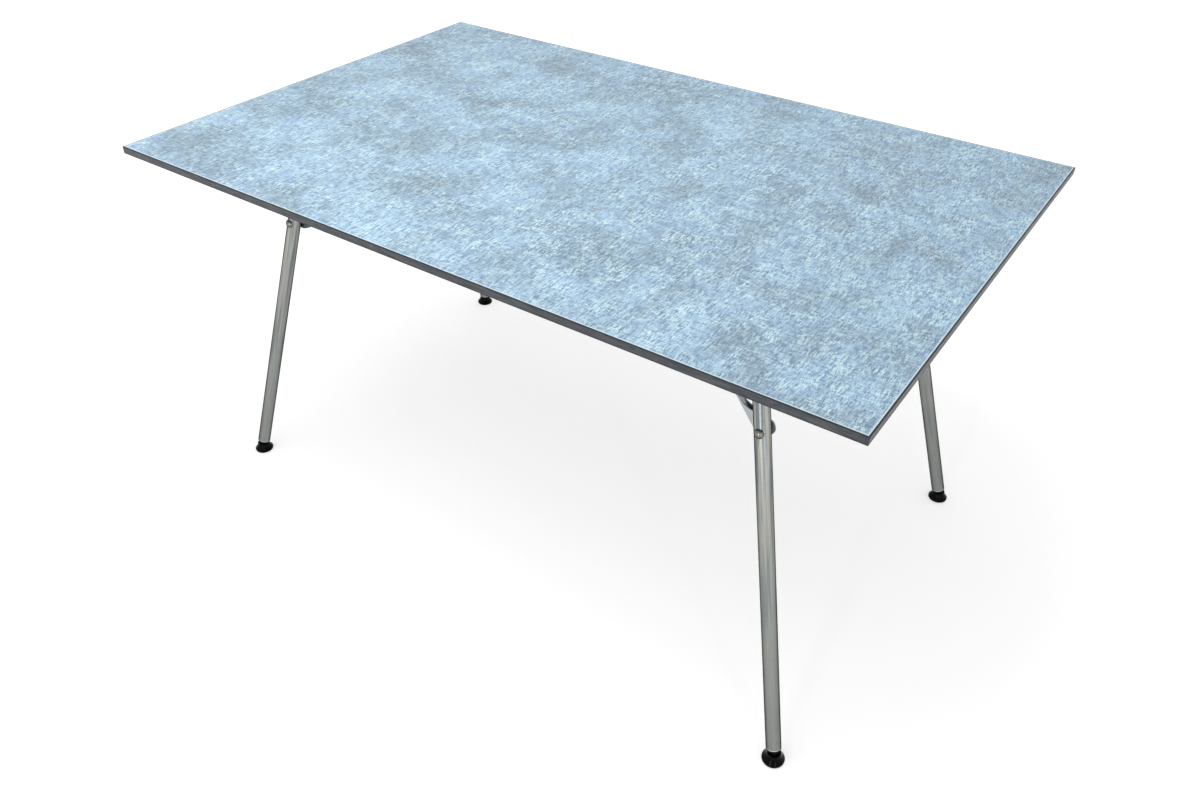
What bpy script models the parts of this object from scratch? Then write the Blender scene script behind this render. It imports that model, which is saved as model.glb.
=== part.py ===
"""Folding dining table.

A thin decor board with a dark edge band stands on four splayed tubular legs. Each leg turns on a
rivet in a bracket under the board. A pressed steel stay, riveted to the leg, hooks over a catch pin
and holds the leg out. The two legs of a long side stand a tube and a stay apart across the table,
so that they fold flat side by side.

Units are metres. +Z is up, X runs along the table, and the origin is on the floor under its middle.
"""
import math

import bmesh
import bpy
from mathutils import Matrix, Vector

# Board
TOP_LENGTH = 1.400
TOP_WIDTH = 0.900
TABLE_HEIGHT = 0.730
CORE_THICKNESS = 0.0110
DECOR_THICKNESS = 0.0008
BALANCE_THICKNESS = 0.0008
GLUE_LINE = 0.0002
BAND_THICKNESS = 0.0020
BAND_EDGE_RADIUS = 0.0006

# Clearances
SEAT_GAP = 0.0003
SIDE_PLAY = 0.0006
FOLDED_SPACING = 0.0086
CUT_OVERRUN = 0.0020

# Where each leg turns and stands, in from the board's edges and down from its underside
PIVOT_END_INSET = 0.220
PIVOT_SIDE_INSET = 0.186
PIVOT_DEPTH = 0.029
FOOT_END_INSET = 0.054
FOOT_SIDE_INSET = 0.068

# Leg tube
TUBE_DIAMETER = 0.0254
TUBE_WALL = 0.0015
TUBE_CHAMFER = 0.0005

# Moulded head that carries the tube on the hinge rivet, and the rivet that holds it in the tube
HEAD_SETBACK = 0.0010
HEAD_CORNER_STANDOUT = 0.0025
HEAD_DROP = 0.0180
HEAD_COLLAR = 0.0030
SPIGOT_LENGTH = 0.0340
SPIGOT_CHAMFER = 0.0020
HEAD_RIVET_DROP = 0.0360
HEAD_RIVET_SHANK = 0.0040
HEAD_RIVET_HEAD = 0.0072
HEAD_RIVET_DOME = 0.0015

# Hinge bracket and its rivet
BRACKET_SHEET = 0.0025
BRACKET_BEND = 0.0015
HINGE_EAR_RADIUS = 0.0130
HINGE_EAR_WIDTH = 0.0420
HINGE_TAB = 0.0270
HINGE_SHANK = 0.0080
HINGE_RIVET_HEAD = 0.0135
HINGE_RIVET_DOME = 0.0030
HINGE_SCREW_INSET = 0.0110
HINGE_SCREW_EDGE = 0.0041
SCREW_HOLE = 0.0045
TAB_CORNER = 0.0050

# Stay: a pressed strip with an ear at the leg and a hook at the catch
STAY_SHEET = 0.0025
STAY_WIDTH = 0.0140
STAY_SLOPE = math.radians(48.2)
STAY_RIVET_DROP = 0.1335
STAY_OFFSET = 0.0212
STAY_EAR_RADIUS = 0.0130
STAY_BEND = 0.0060
HEEL_BACK = 0.0065
HEEL_RISE = 0.0075
HEEL_RUN = 0.0055
GUSSET_SLOPE = math.radians(42.4)
GUSSET_FILLET = 0.0380
FAR_FLANGE_START = 0.0090
FAR_FLANGE_CORNER = 0.0030
HOOK_OPENING_ANGLE = math.radians(12.0)
HOOK_LIP = 0.0030

# Stay's rivet and washer
WASHER_DIAMETER = 0.0160
WASHER_THICKNESS = 0.0008
STAY_SHANK = 0.0080
STAY_RIVET_HEAD = 0.0155
STAY_RIVET_DOME = 0.0046
STAY_RIVET_TAIL = 0.0110
STAY_RIVET_TAIL_HEIGHT = 0.0022

# Catch bracket and its pin
CATCH_DEPTH = 0.0120
CATCH_SHEET = 0.0020
CATCH_EAR_RADIUS = 0.0080
CATCH_EAR_WIDTH = 0.0230
CATCH_TAB = 0.0190
CATCH_SCREW_INSET = 0.0085
CATCH_PIN = 0.0070
CATCH_PIN_HEAD = 0.0092
CATCH_PIN_HEAD_HEIGHT = 0.0012

# Plug in the tube's lower end: ribs, a collar under the rim, a neck and the foot's ball
BALL_HEIGHT = 0.0130
BALL_DIAMETER = 0.0130
RIM_ABOVE_BALL = 0.0148
COLLAR_THICKNESS = 0.0030
COLLAR_ROUND = 0.0008
NECK_DIAMETER = 0.0064
PLUG_LENGTH = 0.0280
PLUG_RIB_DEPTH = 0.0027
PLUG_RIB_HEIGHT = 0.0040
PLUG_RIBS = 2

# Swivel foot
FOOT_DIAMETER = 0.0380
FOOT_BASE_ROUND = 0.0022
FOOT_NECK_DIAMETER = 0.0235
FOOT_RISE_ABOVE_BALL = 0.0055
FOOT_LIP_ROUND = 0.0012
FOOT_FLARE_POWER = 1.5
MOUTH_RISE = 0.0030
MOUTH_FLARE = 0.0020
SOCKET_FLOOR_ANGLE = math.radians(-72.0)

# Facets
TUBE_SIDES = 24
FOOT_SIDES = 24
PLUG_SIDES = 12
RIVET_SIDES = 12
PIN_SIDES = 12
HOLE_SIDES = 8
BEND_STEPS = 2
SMOOTH_ANGLE = math.radians(38.0)
WELD_DISTANCE = 0.000001

# Worked out from the sizes above
BOARD_THICKNESS = CORE_THICKNESS + DECOR_THICKNESS + BALANCE_THICKNESS + 2 * GLUE_LINE
UNDERSIDE = TABLE_HEIGHT - BOARD_THICKNESS
TUBE_RADIUS = TUBE_DIAMETER / 2
HEAD_RADIUS = TUBE_RADIUS - HEAD_SETBACK
PIVOT_X = TOP_LENGTH / 2 - PIVOT_END_INSET
PIVOT_Y = TOP_WIDTH / 2 - PIVOT_SIDE_INSET
PIVOT_Z = UNDERSIDE - PIVOT_DEPTH
FOOT_X = TOP_LENGTH / 2 - FOOT_END_INSET
FOOT_Y = TOP_WIDTH / 2 - FOOT_SIDE_INSET
STAGGER = TUBE_DIAMETER + STAY_WIDTH + FOLDED_SPACING

# The leg leans outboard in a plane that itself tilts outward to the side
LEG_DROP = PIVOT_Z - BALL_HEIGHT
TILT = math.atan2(FOOT_Y - PIVOT_Y, LEG_DROP)
LEAN = math.atan2((FOOT_X - PIVOT_X) * math.cos(TILT), LEG_DROP)
LEG_LENGTH = math.sqrt((FOOT_X - PIVOT_X) ** 2 + (FOOT_Y - PIVOT_Y) ** 2 + LEG_DROP ** 2)

# Levels across the hinge plane, from the tube's axis towards the table's middle
EAR_INNER = TUBE_RADIUS + SEAT_GAP
EAR_OUTER = EAR_INNER + BRACKET_SHEET
WASHER_NEAR = TUBE_RADIUS + SEAT_GAP
WASHER_FAR = WASHER_NEAR + WASHER_THICKNESS
STAY_NEAR = WASHER_FAR + SEAT_GAP
STAY_FAR = STAY_NEAR + STAY_WIDTH
STAY_MIDDLE = (STAY_NEAR + STAY_FAR) / 2
CATCH_NEAR = STAY_NEAR - SIDE_PLAY - CATCH_SHEET
CATCH_FAR = STAY_FAR + SIDE_PLAY + CATCH_SHEET

# Where the catch pin lies in the hinge plane, along and up from the leg's pivot
RIVET_ALONG = -STAY_RIVET_DROP * math.sin(LEAN)
RIVET_UP = -STAY_RIVET_DROP * math.cos(LEAN)
HOOK_RADIUS = CATCH_PIN / 2 + SEAT_GAP
PIN_OFFSET = STAY_OFFSET - STAY_SHEET - HOOK_RADIUS
CATCH_UP = (PIVOT_DEPTH - CATCH_DEPTH + STAY_MIDDLE * math.sin(TILT)) / math.cos(TILT)
STAY_REACH = (CATCH_UP - RIVET_UP + PIN_OFFSET * math.cos(STAY_SLOPE)) / math.sin(STAY_SLOPE)
CATCH_ALONG = RIVET_ALONG + STAY_REACH * math.cos(STAY_SLOPE) + PIN_OFFSET * math.sin(STAY_SLOPE)

# Colour, roughness and metallic value of each finish
FINISHES = {
    "decor": ((0.40, 0.52, 0.60), 0.45, 0.0),
    "core": ((0.42, 0.30, 0.19), 0.80, 0.0),
    "balance": ((0.55, 0.56, 0.56), 0.60, 0.0),
    "band": ((0.10, 0.11, 0.12), 0.50, 0.0),
    "aluminium": ((0.55, 0.55, 0.52), 0.35, 1.0),
    "steel": ((0.50, 0.52, 0.53), 0.30, 1.0),
    "rivet": ((0.62, 0.61, 0.58), 0.18, 1.0),
    "nylon": ((0.03, 0.03, 0.03), 0.50, 0.0),
    "foot": ((0.01, 0.01, 0.012), 0.15, 0.0),
}

# Corner name, end (-1 left, +1 right), side (-1 front, +1 rear)
CORNERS = (
    ("front_left", -1, -1),
    ("front_right", 1, -1),
    ("rear_left", -1, 1),
    ("rear_right", 1, 1),
)


def clear_scene():
    """Remove what the file opened with."""
    for obj in list(bpy.data.objects):
        bpy.data.objects.remove(obj, do_unlink=True)


def new_collection(name):
    collection = bpy.data.collections.new(name)
    bpy.context.scene.collection.children.link(collection)
    return collection


def new_object(name, data, collection):
    obj = bpy.data.objects.new(name, data)
    collection.objects.link(obj)
    return obj


def new_material(name, finish):
    colour, roughness, metallic = FINISHES[finish]
    material = bpy.data.materials.new(name)
    material.use_nodes = True
    shader = material.node_tree.nodes["Principled BSDF"]
    shader.inputs["Base Color"].default_value = (*colour, 1.0)
    shader.inputs["Roughness"].default_value = roughness
    shader.inputs["Metallic"].default_value = metallic
    return material


def turn_about(axis, angle):
    return Matrix.Rotation(angle, 4, axis)


def placed(mesh, x=0.0, y=0.0, z=0.0):
    """The mesh, shifted."""
    mesh.transform(Matrix.Translation((x, y, z)))
    return mesh


def laid_along_y(mesh):
    """A mesh made about Z, laid so that its top points to -Y."""
    mesh.transform(turn_about("X", math.radians(90)))
    return mesh


def laid_along_x(mesh):
    """A mesh made about Z, laid so that its top points to +X."""
    mesh.transform(turn_about("Y", math.radians(90)))
    return mesh


def arc(centre, radius, start, end, steps):
    """Points on an arc, with its first and last point."""
    points = []
    for index in range(steps + 1):
        angle = start + (end - start) * index / steps
        point = (centre[0] + radius * math.cos(angle), centre[1] + radius * math.sin(angle))
        points.append(Vector(point))
    return points


def crossing(p, along_p, q, along_q):
    """Where a line through p crosses a line through q."""
    cross = along_p.x * along_q.y - along_p.y * along_q.x
    step = q - p
    return p + along_p * ((step.x * along_q.y - step.y * along_q.x) / cross)


def offset_path(points, distance):
    """An open path, moved to its right."""
    headings = [(b - a).normalized() for a, b in zip(points, points[1:])]
    shifts = [Vector((heading.y, -heading.x)) * distance for heading in headings]
    result = [points[0] + shifts[0]]
    for index, corner in enumerate(points[1:-1]):
        result.append(crossing(corner + shifts[index], headings[index],
                               corner + shifts[index + 1], headings[index + 1]))
    result.append(points[-1] + shifts[-1])
    return result


def rounded_path(points, radius, steps):
    """An open path with its corners rounded."""
    result = [points[0]]
    for before, corner, after in zip(points, points[1:], points[2:]):
        back = (before - corner).normalized()
        ahead = (after - corner).normalized()
        half = back.angle(ahead) / 2
        centre = corner + (back + ahead).normalized() * (radius / math.sin(half))
        first = corner + back * (radius / math.tan(half)) - centre
        last = corner + ahead * (radius / math.tan(half)) - centre
        start = math.atan2(first.y, first.x)
        turn = math.remainder(math.atan2(last.y, last.x) - start, math.tau)
        result += arc(centre, radius, start, start + turn, steps)
    result.append(points[-1])
    return result


def folded_sheet(outer, sheet, bend):
    """Edge view of a folded sheet, which lies to the right of its outer face's path."""
    points = [Vector(point) for point in outer]
    outside = rounded_path(points, bend + sheet, BEND_STEPS)
    inside = rounded_path(offset_path(points, sheet), bend, BEND_STEPS)
    return outside, inside


def baked(obj):
    """The object's mesh as seen, welded and with its faces outward. The object is removed."""
    bpy.context.view_layer.update()
    graph = bpy.context.evaluated_depsgraph_get()
    mesh = bpy.data.meshes.new_from_object(obj.evaluated_get(graph))
    mesh.transform(obj.matrix_world)
    bpy.data.objects.remove(obj, do_unlink=True)
    shape = bmesh.new()
    shape.from_mesh(mesh)
    bmesh.ops.remove_doubles(shape, verts=shape.verts, dist=WELD_DISTANCE)
    bmesh.ops.recalc_face_normals(shape, faces=shape.faces)
    shape.to_mesh(mesh)
    shape.free()
    return mesh


def plate(outline, low, high):
    """A flat outline in the XZ plane, given thickness from low to high along Y."""
    curve = bpy.data.curves.new("outline", "CURVE")
    curve.dimensions = "2D"
    curve.fill_mode = "BOTH"
    curve.extrude = (high - low) / 2
    spline = curve.splines.new("POLY")
    spline.points.add(len(outline) - 1)
    for point, (along, up) in zip(spline.points, outline):
        point.co = (along, up, 0.0, 1.0)
    spline.use_cyclic_u = True
    obj = new_object("outline", curve, cutters)
    upright = turn_about("X", math.radians(90))
    obj.matrix_world = Matrix.Translation((0.0, (low + high) / 2, 0.0)) @ upright
    return baked(obj)


def turned(profile, sides, closed=False):
    """A profile of radius and height, down its outer side, turned about Z."""
    edges = [(index, index + 1) for index in range(len(profile) - 1)]
    if closed:
        edges.append((len(profile) - 1, 0))
    mesh = bpy.data.meshes.new("profile")
    mesh.from_pydata([(radius, 0.0, height) for radius, height in profile], edges, [])
    obj = new_object("profile", mesh, cutters)
    screw = obj.modifiers.new("turn", "SCREW")
    screw.steps = sides
    screw.render_steps = sides
    screw.use_merge_vertices = True
    screw.merge_threshold = WELD_DISTANCE
    return baked(obj)


def rod(radius, low, high, sides):
    """A plain round bar along Z."""
    shape = bmesh.new()
    middle = Matrix.Translation((0.0, 0.0, (low + high) / 2))
    bmesh.ops.create_cone(shape, cap_ends=True, segments=sides, radius1=radius, radius2=radius,
                          depth=high - low, matrix=middle)
    mesh = bpy.data.meshes.new("rod")
    shape.to_mesh(mesh)
    shape.free()
    return mesh


def block(size):
    """A box about its middle."""
    shape = bmesh.new()
    bmesh.ops.create_cube(shape, size=1)
    bmesh.ops.scale(shape, vec=size, verts=shape.verts)
    mesh = bpy.data.meshes.new("block")
    shape.to_mesh(mesh)
    shape.free()
    return mesh


def combined(operation, mesh, *tools):
    """A mesh joined with, cut by or kept inside others, which stay as wire guides."""
    obj = new_object("blank", mesh, cutters)
    for tool in tools:
        guide = new_object("cutter", tool, cutters)
        guide.hide_render = True
        guide.display_type = "WIRE"
        boolean = obj.modifiers.new("combine", "BOOLEAN")
        boolean.operation = operation
        boolean.solver = "EXACT"
        boolean.object = guide
    return baked(obj)


def dome(radius, height, base, steps):
    """Profile of a rounded rivet head, from its crown down to its rim."""
    sphere = (radius ** 2 + height ** 2) / (2 * height)
    half = math.asin(radius / sphere)
    centre = (0.0, base + height - sphere)
    return arc(centre, sphere, math.pi / 2, math.pi / 2 - half, steps)


def both_ends(upper):
    """A profile whose lower end repeats its upper end."""
    return upper + [(radius, -height) for radius, height in reversed(upper)]


def underside_at(across):
    """Height of the board's underside above the pivot, at a level across the hinge plane."""
    return (PIVOT_DEPTH + across * math.sin(TILT)) / math.cos(TILT)


def tab_half_width(near, far, sheet):
    """Half the flat of a bracket's web, measured along the board."""
    return (far - near) / (2 * math.cos(TILT)) - sheet - BRACKET_BEND


def pressed_bracket(near, far, sheet, axis_up, ear_radius, ear_width, tab):
    """An inverted channel under the board, with two ears round an axis and a flat tab each way."""
    seat = SEAT_GAP / math.cos(TILT)
    foot = -ear_radius - CUT_OVERRUN
    near_top = underside_at(near) - axis_up - seat
    far_top = underside_at(far) - axis_up - seat
    fold = [(near, foot), (near, near_top), (far, far_top), (far, foot)]
    outside, inside = folded_sheet(fold, sheet, BRACKET_BEND)
    half_ear = ear_width / 2
    half = half_ear + tab
    body = plate(outside + inside[::-1], -half, half)
    body.transform(turn_about("Z", math.radians(90)))

    # Side view of the ears: straight beside the bend, then drawn in to a round lobe
    shoulder = Vector((half_ear, min(near_top, far_top) - (sheet + BRACKET_BEND) / math.cos(TILT)))
    bearing = math.atan2(shoulder.y, shoulder.x)
    tangent = math.acos(ear_radius / shoulder.length)
    top = max(near_top, far_top) + CUT_OVERRUN
    side = [(-half_ear, top), (-half_ear, shoulder.y)]
    side += arc((0, 0), ear_radius, math.pi - bearing + tangent, math.tau + bearing - tangent, 6)
    side += [(half_ear, shoulder.y), (half_ear, top)]
    ears = plate(side, near - CUT_OVERRUN, far + CUT_OVERRUN)

    # Plan of the tabs: no wider than the flat of the web, with rounded corners
    corner_along = half - TAB_CORNER
    corner_across = tab_half_width(near, far, sheet) - TAB_CORNER
    plan = []
    for along, across, start in ((1, -1, -90), (1, 1, 0), (-1, 1, 90), (-1, -1, 180)):
        plan += arc((along * corner_along, across * corner_across), TAB_CORNER,
                    math.radians(start), math.radians(start + 90), 2)
    tabs = plate(plan, -sheet - CUT_OVERRUN, sheet + CUT_OVERRUN)
    tabs.transform(turn_about("X", TILT - math.radians(90)))
    middle = (near + far) / 2
    placed(tabs, y=middle, z=underside_at(middle) - axis_up)
    return combined("INTERSECT", body, combined("UNION", ears, tabs))


def screw_hole(along, across, axis_up):
    """A cutter through a tab, square to the board."""
    reach = BRACKET_SHEET + CUT_OVERRUN
    hole = rod(SCREW_HOLE / 2, -reach, reach, HOLE_SIDES)
    hole.transform(turn_about("X", TILT))
    return placed(hole, along, across, underside_at(across) - axis_up)


def make_hinge_bracket():
    body = pressed_bracket(-EAR_OUTER, EAR_OUTER, BRACKET_SHEET, 0.0, HINGE_EAR_RADIUS,
                           HINGE_EAR_WIDTH, HINGE_TAB)
    along = HINGE_EAR_WIDTH / 2 + HINGE_TAB - HINGE_SCREW_INSET
    half_tab = tab_half_width(-EAR_OUTER, EAR_OUTER, BRACKET_SHEET)
    across = (half_tab - HINGE_SCREW_EDGE) * math.cos(TILT)
    holes = [screw_hole(end * along, side * across, 0.0) for end in (-1, 1) for side in (-1, 1)]
    reach = EAR_OUTER + CUT_OVERRUN
    holes.append(laid_along_y(rod(HINGE_SHANK / 2 + SEAT_GAP, -reach, reach, RIVET_SIDES)))
    return combined("DIFFERENCE", body, *holes)


def make_hinge_rivet():
    rim = EAR_OUTER + SEAT_GAP
    upper = dome(HINGE_RIVET_HEAD / 2, HINGE_RIVET_DOME, rim, 3)
    upper.append((HINGE_SHANK / 2, rim))
    return laid_along_y(turned(both_ends(upper), RIVET_SIDES))


def make_leg_head():
    """The knuckle, bored for the hinge rivet, over a round collar and a spigot in the tube."""
    shoulder = HEAD_COLLAR - HEAD_DROP
    outline = arc((0, 0), HEAD_RADIUS, 0, math.pi, 10)
    outline += [(-HEAD_RADIUS, shoulder), (HEAD_RADIUS, shoulder)]
    knuckle = plate(outline, -TUBE_RADIUS, TUBE_RADIUS)
    corner_radius = TUBE_RADIUS + HEAD_CORNER_STANDOUT
    corners = rod(corner_radius, -HEAD_DROP, HEAD_RADIUS + CUT_OVERRUN, TUBE_SIDES)
    knuckle = combined("INTERSECT", knuckle, corners)
    spigot = TUBE_RADIUS - TUBE_WALL - SEAT_GAP
    foot = -HEAD_DROP - SPIGOT_LENGTH
    lower = turned([(0, shoulder + HEAD_COLLAR), (spigot, shoulder + HEAD_COLLAR),
                    (TUBE_RADIUS, shoulder + HEAD_COLLAR / 3), (TUBE_RADIUS, -HEAD_DROP),
                    (spigot, -HEAD_DROP), (spigot, foot + SPIGOT_CHAMFER),
                    (spigot - SPIGOT_CHAMFER, foot), (0, foot)], TUBE_SIDES)
    head = combined("UNION", knuckle, lower)
    hinge_bore = rod(HINGE_SHANK / 2 + SEAT_GAP, -EAR_OUTER, EAR_OUTER, RIVET_SIDES)
    rivet_bore = rod(HEAD_RIVET_SHANK / 2 + SEAT_GAP, -EAR_OUTER, EAR_OUTER, HOLE_SIDES)
    return combined("DIFFERENCE", head, laid_along_y(hinge_bore),
                    placed(laid_along_x(rivet_bore), z=-HEAD_RIVET_DROP))


def make_head_rivet():
    rim = TUBE_RADIUS + SEAT_GAP
    upper = dome(HEAD_RIVET_HEAD / 2, HEAD_RIVET_DOME, rim, 2)
    upper.append((HEAD_RIVET_SHANK / 2, rim))
    return laid_along_x(turned(both_ends(upper), HOLE_SIDES))


def make_leg_tube():
    top = -HEAD_DROP - SEAT_GAP
    bottom = RIM_ABOVE_BALL - LEG_LENGTH
    bore = TUBE_RADIUS - TUBE_WALL
    wall = turned([(bore, top), (TUBE_RADIUS, top), (TUBE_RADIUS, bottom + TUBE_CHAMFER),
                   (TUBE_RADIUS - TUBE_CHAMFER, bottom), (bore, bottom)], TUBE_SIDES, closed=True)
    stay_hole = laid_along_y(rod(STAY_SHANK / 2 + SEAT_GAP, -EAR_OUTER, EAR_OUTER, RIVET_SIDES))
    head_hole = laid_along_x(rod(HEAD_RIVET_SHANK / 2 + SEAT_GAP, -EAR_OUTER, EAR_OUTER, HOLE_SIDES))
    return combined("DIFFERENCE", wall, placed(stay_hole, z=-STAY_RIVET_DROP),
                    placed(head_hole, z=-HEAD_RIVET_DROP))


def make_stay():
    """The stay lies along X from the rivet at the origin, its strip below and its hook at the end."""
    outer = -STAY_OFFSET
    inner = outer + STAY_SHEET
    heel = Vector((-HEEL_BACK, outer + HEEL_RISE))
    outside, inside = folded_sheet([(STAY_REACH, outer), (HEEL_RUN, outer), heel], STAY_SHEET, STAY_BEND)
    pin = (STAY_REACH, -PIN_OFFSET)
    lip = Vector((-math.sin(HOOK_OPENING_ANGLE), math.cos(HOOK_OPENING_ANGLE))) * HOOK_LIP
    hook_outside = arc(pin, HOOK_RADIUS + STAY_SHEET, -math.pi / 2, HOOK_OPENING_ANGLE, 6)
    hook_inside = arc(pin, HOOK_RADIUS, -math.pi / 2, HOOK_OPENING_ANGLE, 6)
    hook_outside.append(hook_outside[-1] + lip)
    hook_inside.append(hook_inside[-1] + lip)
    outline = outside[:0:-1] + hook_outside + hook_inside[::-1] + inside[1:]
    strip = plate(outline, STAY_NEAR, STAY_FAR)

    # The ear goes round the rivet and is drawn down to the strip in a long concave line
    facing = math.pi / 2 - GUSSET_SLOPE
    crest = (STAY_EAR_RADIUS - inner * math.sin(facing)) / math.cos(facing)
    run_out = crest + GUSSET_FILLET * math.tan(GUSSET_SLOPE / 2)
    fillet = arc((run_out, inner + GUSSET_FILLET), GUSSET_FILLET, -math.pi / 2,
                 -math.pi / 2 - GUSSET_SLOPE, 5)
    root = outer + STAY_SHEET / 2
    heel_root = heel + Vector((STAY_SHEET / 4, STAY_SHEET / 4))
    bearing = math.atan2(heel_root.y, heel_root.x) + math.tau
    start = bearing - math.acos(min(1.0, STAY_EAR_RADIUS / heel_root.length))
    ear = arc((0, 0), STAY_EAR_RADIUS, facing, start, 10)
    ear += [heel_root, (HEEL_RUN, root), (run_out, root)] + fillet
    near_flange = plate(ear, STAY_NEAR, STAY_NEAR + STAY_SHEET)

    # The far flange has the same concave line and is cut off square before it reaches the rivet
    flange_top = (STAY_EAR_RADIUS - FAR_FLANGE_START * math.cos(facing)) / math.sin(facing)
    cut_end = [Vector((FAR_FLANGE_START, root)), Vector((FAR_FLANGE_START, flange_top)), fillet[-1]]
    far_outline = rounded_path(cut_end, FAR_FLANGE_CORNER, 3) + fillet[-2::-1] + [Vector((run_out, root))]
    far_flange = plate(far_outline, STAY_FAR - STAY_SHEET, STAY_FAR)
    body = combined("UNION", strip, near_flange, far_flange)
    hole_end = STAY_NEAR + STAY_SHEET + CUT_OVERRUN
    hole = rod(STAY_SHANK / 2 + SEAT_GAP, -hole_end, -TUBE_RADIUS, RIVET_SIDES)
    return combined("DIFFERENCE", body, laid_along_y(hole))


def make_stay_washer():
    bore = STAY_SHANK / 2 + SEAT_GAP
    edge = WASHER_DIAMETER / 2
    ring = turned([(bore, -WASHER_NEAR), (edge, -WASHER_NEAR), (edge, -WASHER_FAR), (bore, -WASHER_FAR)],
                  RIVET_SIDES, closed=True)
    return laid_along_y(ring)


def make_stay_rivet():
    """A domed head that follows the tube, a shank through it, and a flat tail inside the stay."""
    rim = TUBE_RADIUS + SEAT_GAP
    radius = STAY_RIVET_HEAD / 2
    skirt = math.sqrt(rim ** 2 - radius ** 2) - CUT_OVERRUN
    crown = dome(radius, STAY_RIVET_DOME, rim, 4)
    head = laid_along_y(turned(crown + [(radius, skirt), (0, skirt)], RIVET_SIDES))
    tube = rod(rim, -TUBE_DIAMETER, TUBE_DIAMETER, 2 * TUBE_SIDES)
    head = combined("DIFFERENCE", head, tube)
    shank = STAY_SHANK / 2
    buried = rim + STAY_RIVET_DOME / 3
    tail = -STAY_NEAR - STAY_SHEET - SEAT_GAP
    end = tail - STAY_RIVET_TAIL_HEIGHT
    tail_radius = STAY_RIVET_TAIL / 2
    ease = STAY_RIVET_TAIL_HEIGHT / 3
    body = turned([(0, buried), (shank, buried), (shank, tail), (tail_radius, tail),
                   (tail_radius, end + ease), (tail_radius - ease, end), (0, end)], RIVET_SIDES)
    return combined("UNION", laid_along_y(body), head)


def make_catch_bracket():
    body = pressed_bracket(CATCH_NEAR, CATCH_FAR, CATCH_SHEET, CATCH_UP, CATCH_EAR_RADIUS,
                           CATCH_EAR_WIDTH, CATCH_TAB)
    along = CATCH_EAR_WIDTH / 2 + CATCH_TAB - CATCH_SCREW_INSET
    holes = [screw_hole(end * along, STAY_MIDDLE, CATCH_UP) for end in (-1, 1)]
    bore = rod(CATCH_PIN / 2 + SEAT_GAP, -CATCH_FAR - CUT_OVERRUN, CUT_OVERRUN - CATCH_NEAR, PIN_SIDES)
    return combined("DIFFERENCE", body, laid_along_y(bore), *holes)


def make_catch_pin():
    near = SEAT_GAP - CATCH_NEAR
    far = -SEAT_GAP - CATCH_FAR
    pin = CATCH_PIN / 2
    head = CATCH_PIN_HEAD / 2
    return laid_along_y(turned([(0, near + CATCH_PIN_HEAD_HEIGHT), (pin, near + CATCH_PIN_HEAD_HEIGHT),
                                (head, near), (pin, near), (pin, far), (head, far),
                                (pin, far - CATCH_PIN_HEAD_HEIGHT), (0, far - CATCH_PIN_HEAD_HEIGHT)],
                               PIN_SIDES))


def make_foot_plug():
    rim = RIM_ABOVE_BALL - SEAT_GAP
    rib = TUBE_RADIUS - TUBE_WALL - SEAT_GAP
    core = rib - PLUG_RIB_DEPTH
    profile = [(0, rim + PLUG_LENGTH), (core, rim + PLUG_LENGTH)]
    for index in range(PLUG_RIBS, 0, -1):
        level = rim + PLUG_LENGTH * index / (PLUG_RIBS + 1)
        profile += [(core, level + PLUG_RIB_HEIGHT), (rib, level), (core, level)]
    collar_foot = rim - COLLAR_THICKNESS
    ball = BALL_DIAMETER / 2
    neck = NECK_DIAMETER / 2
    profile += [(core, rim), (TUBE_RADIUS, rim), (TUBE_RADIUS, collar_foot + COLLAR_ROUND),
                (TUBE_RADIUS - COLLAR_ROUND, collar_foot), (neck + COLLAR_ROUND, collar_foot),
                (neck, collar_foot - COLLAR_ROUND)]
    profile += arc((0, 0), ball, math.acos(neck / ball), -math.pi / 2, 6)[:-1]
    profile.append((0, -ball))
    return turned(profile, PLUG_SIDES)


def make_swivel_foot():
    """A bell on the ball, with a rounded base edge and a flared mouth."""
    socket = BALL_DIAMETER / 2 + SEAT_GAP
    cup = arc((0, 0), socket, SOCKET_FLOOR_ANGLE, math.asin(MOUTH_RISE / socket), 5)
    neck = FOOT_NECK_DIAMETER / 2
    neck_level = FOOT_RISE_ABOVE_BALL - FOOT_LIP_ROUND
    profile = [(0, -socket)] + cup
    profile += [(cup[-1].x + MOUTH_FLARE, FOOT_RISE_ABOVE_BALL),
                (neck - FOOT_LIP_ROUND, FOOT_RISE_ABOVE_BALL), (neck, neck_level)]
    floor = -BALL_HEIGHT
    fall = floor + 2 * FOOT_BASE_ROUND - neck_level
    flare = FOOT_DIAMETER / 2 - neck
    for share in (0.25, 0.5, 0.75, 1.0):
        profile.append((neck + flare * share ** FOOT_FLARE_POWER, neck_level + fall * share))
    base = (FOOT_DIAMETER / 2 - FOOT_BASE_ROUND, floor + FOOT_BASE_ROUND)
    profile += arc(base, FOOT_BASE_ROUND, 0, -math.pi / 2, 2)
    profile.append((0, floor))
    return turned(profile, FOOT_SIDES)


def make_band(length):
    """An edge strip along X with mitred ends, its outer face at y = 0 and the board beyond it."""
    shape = bmesh.new()
    bmesh.ops.create_cube(shape, size=1)
    for vert in shape.verts:
        inset = BAND_THICKNESS if vert.co.y > 0 else 0.0
        half = (length - SEAT_GAP) / 2 - inset
        vert.co = (math.copysign(half, vert.co.x), inset, math.copysign(BOARD_THICKNESS / 2, vert.co.z))
    outer_edges = [edge for edge in shape.edges
                   if all(vert.co.y == 0 for vert in edge.verts)
                   and edge.verts[0].co.z == edge.verts[1].co.z]
    bmesh.ops.bevel(shape, geom=outer_edges, offset=BAND_EDGE_RADIUS, segments=2,
                    affect="EDGES", profile=0.5)
    mesh = bpy.data.meshes.new("band")
    shape.to_mesh(mesh)
    shape.free()
    return mesh


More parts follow.
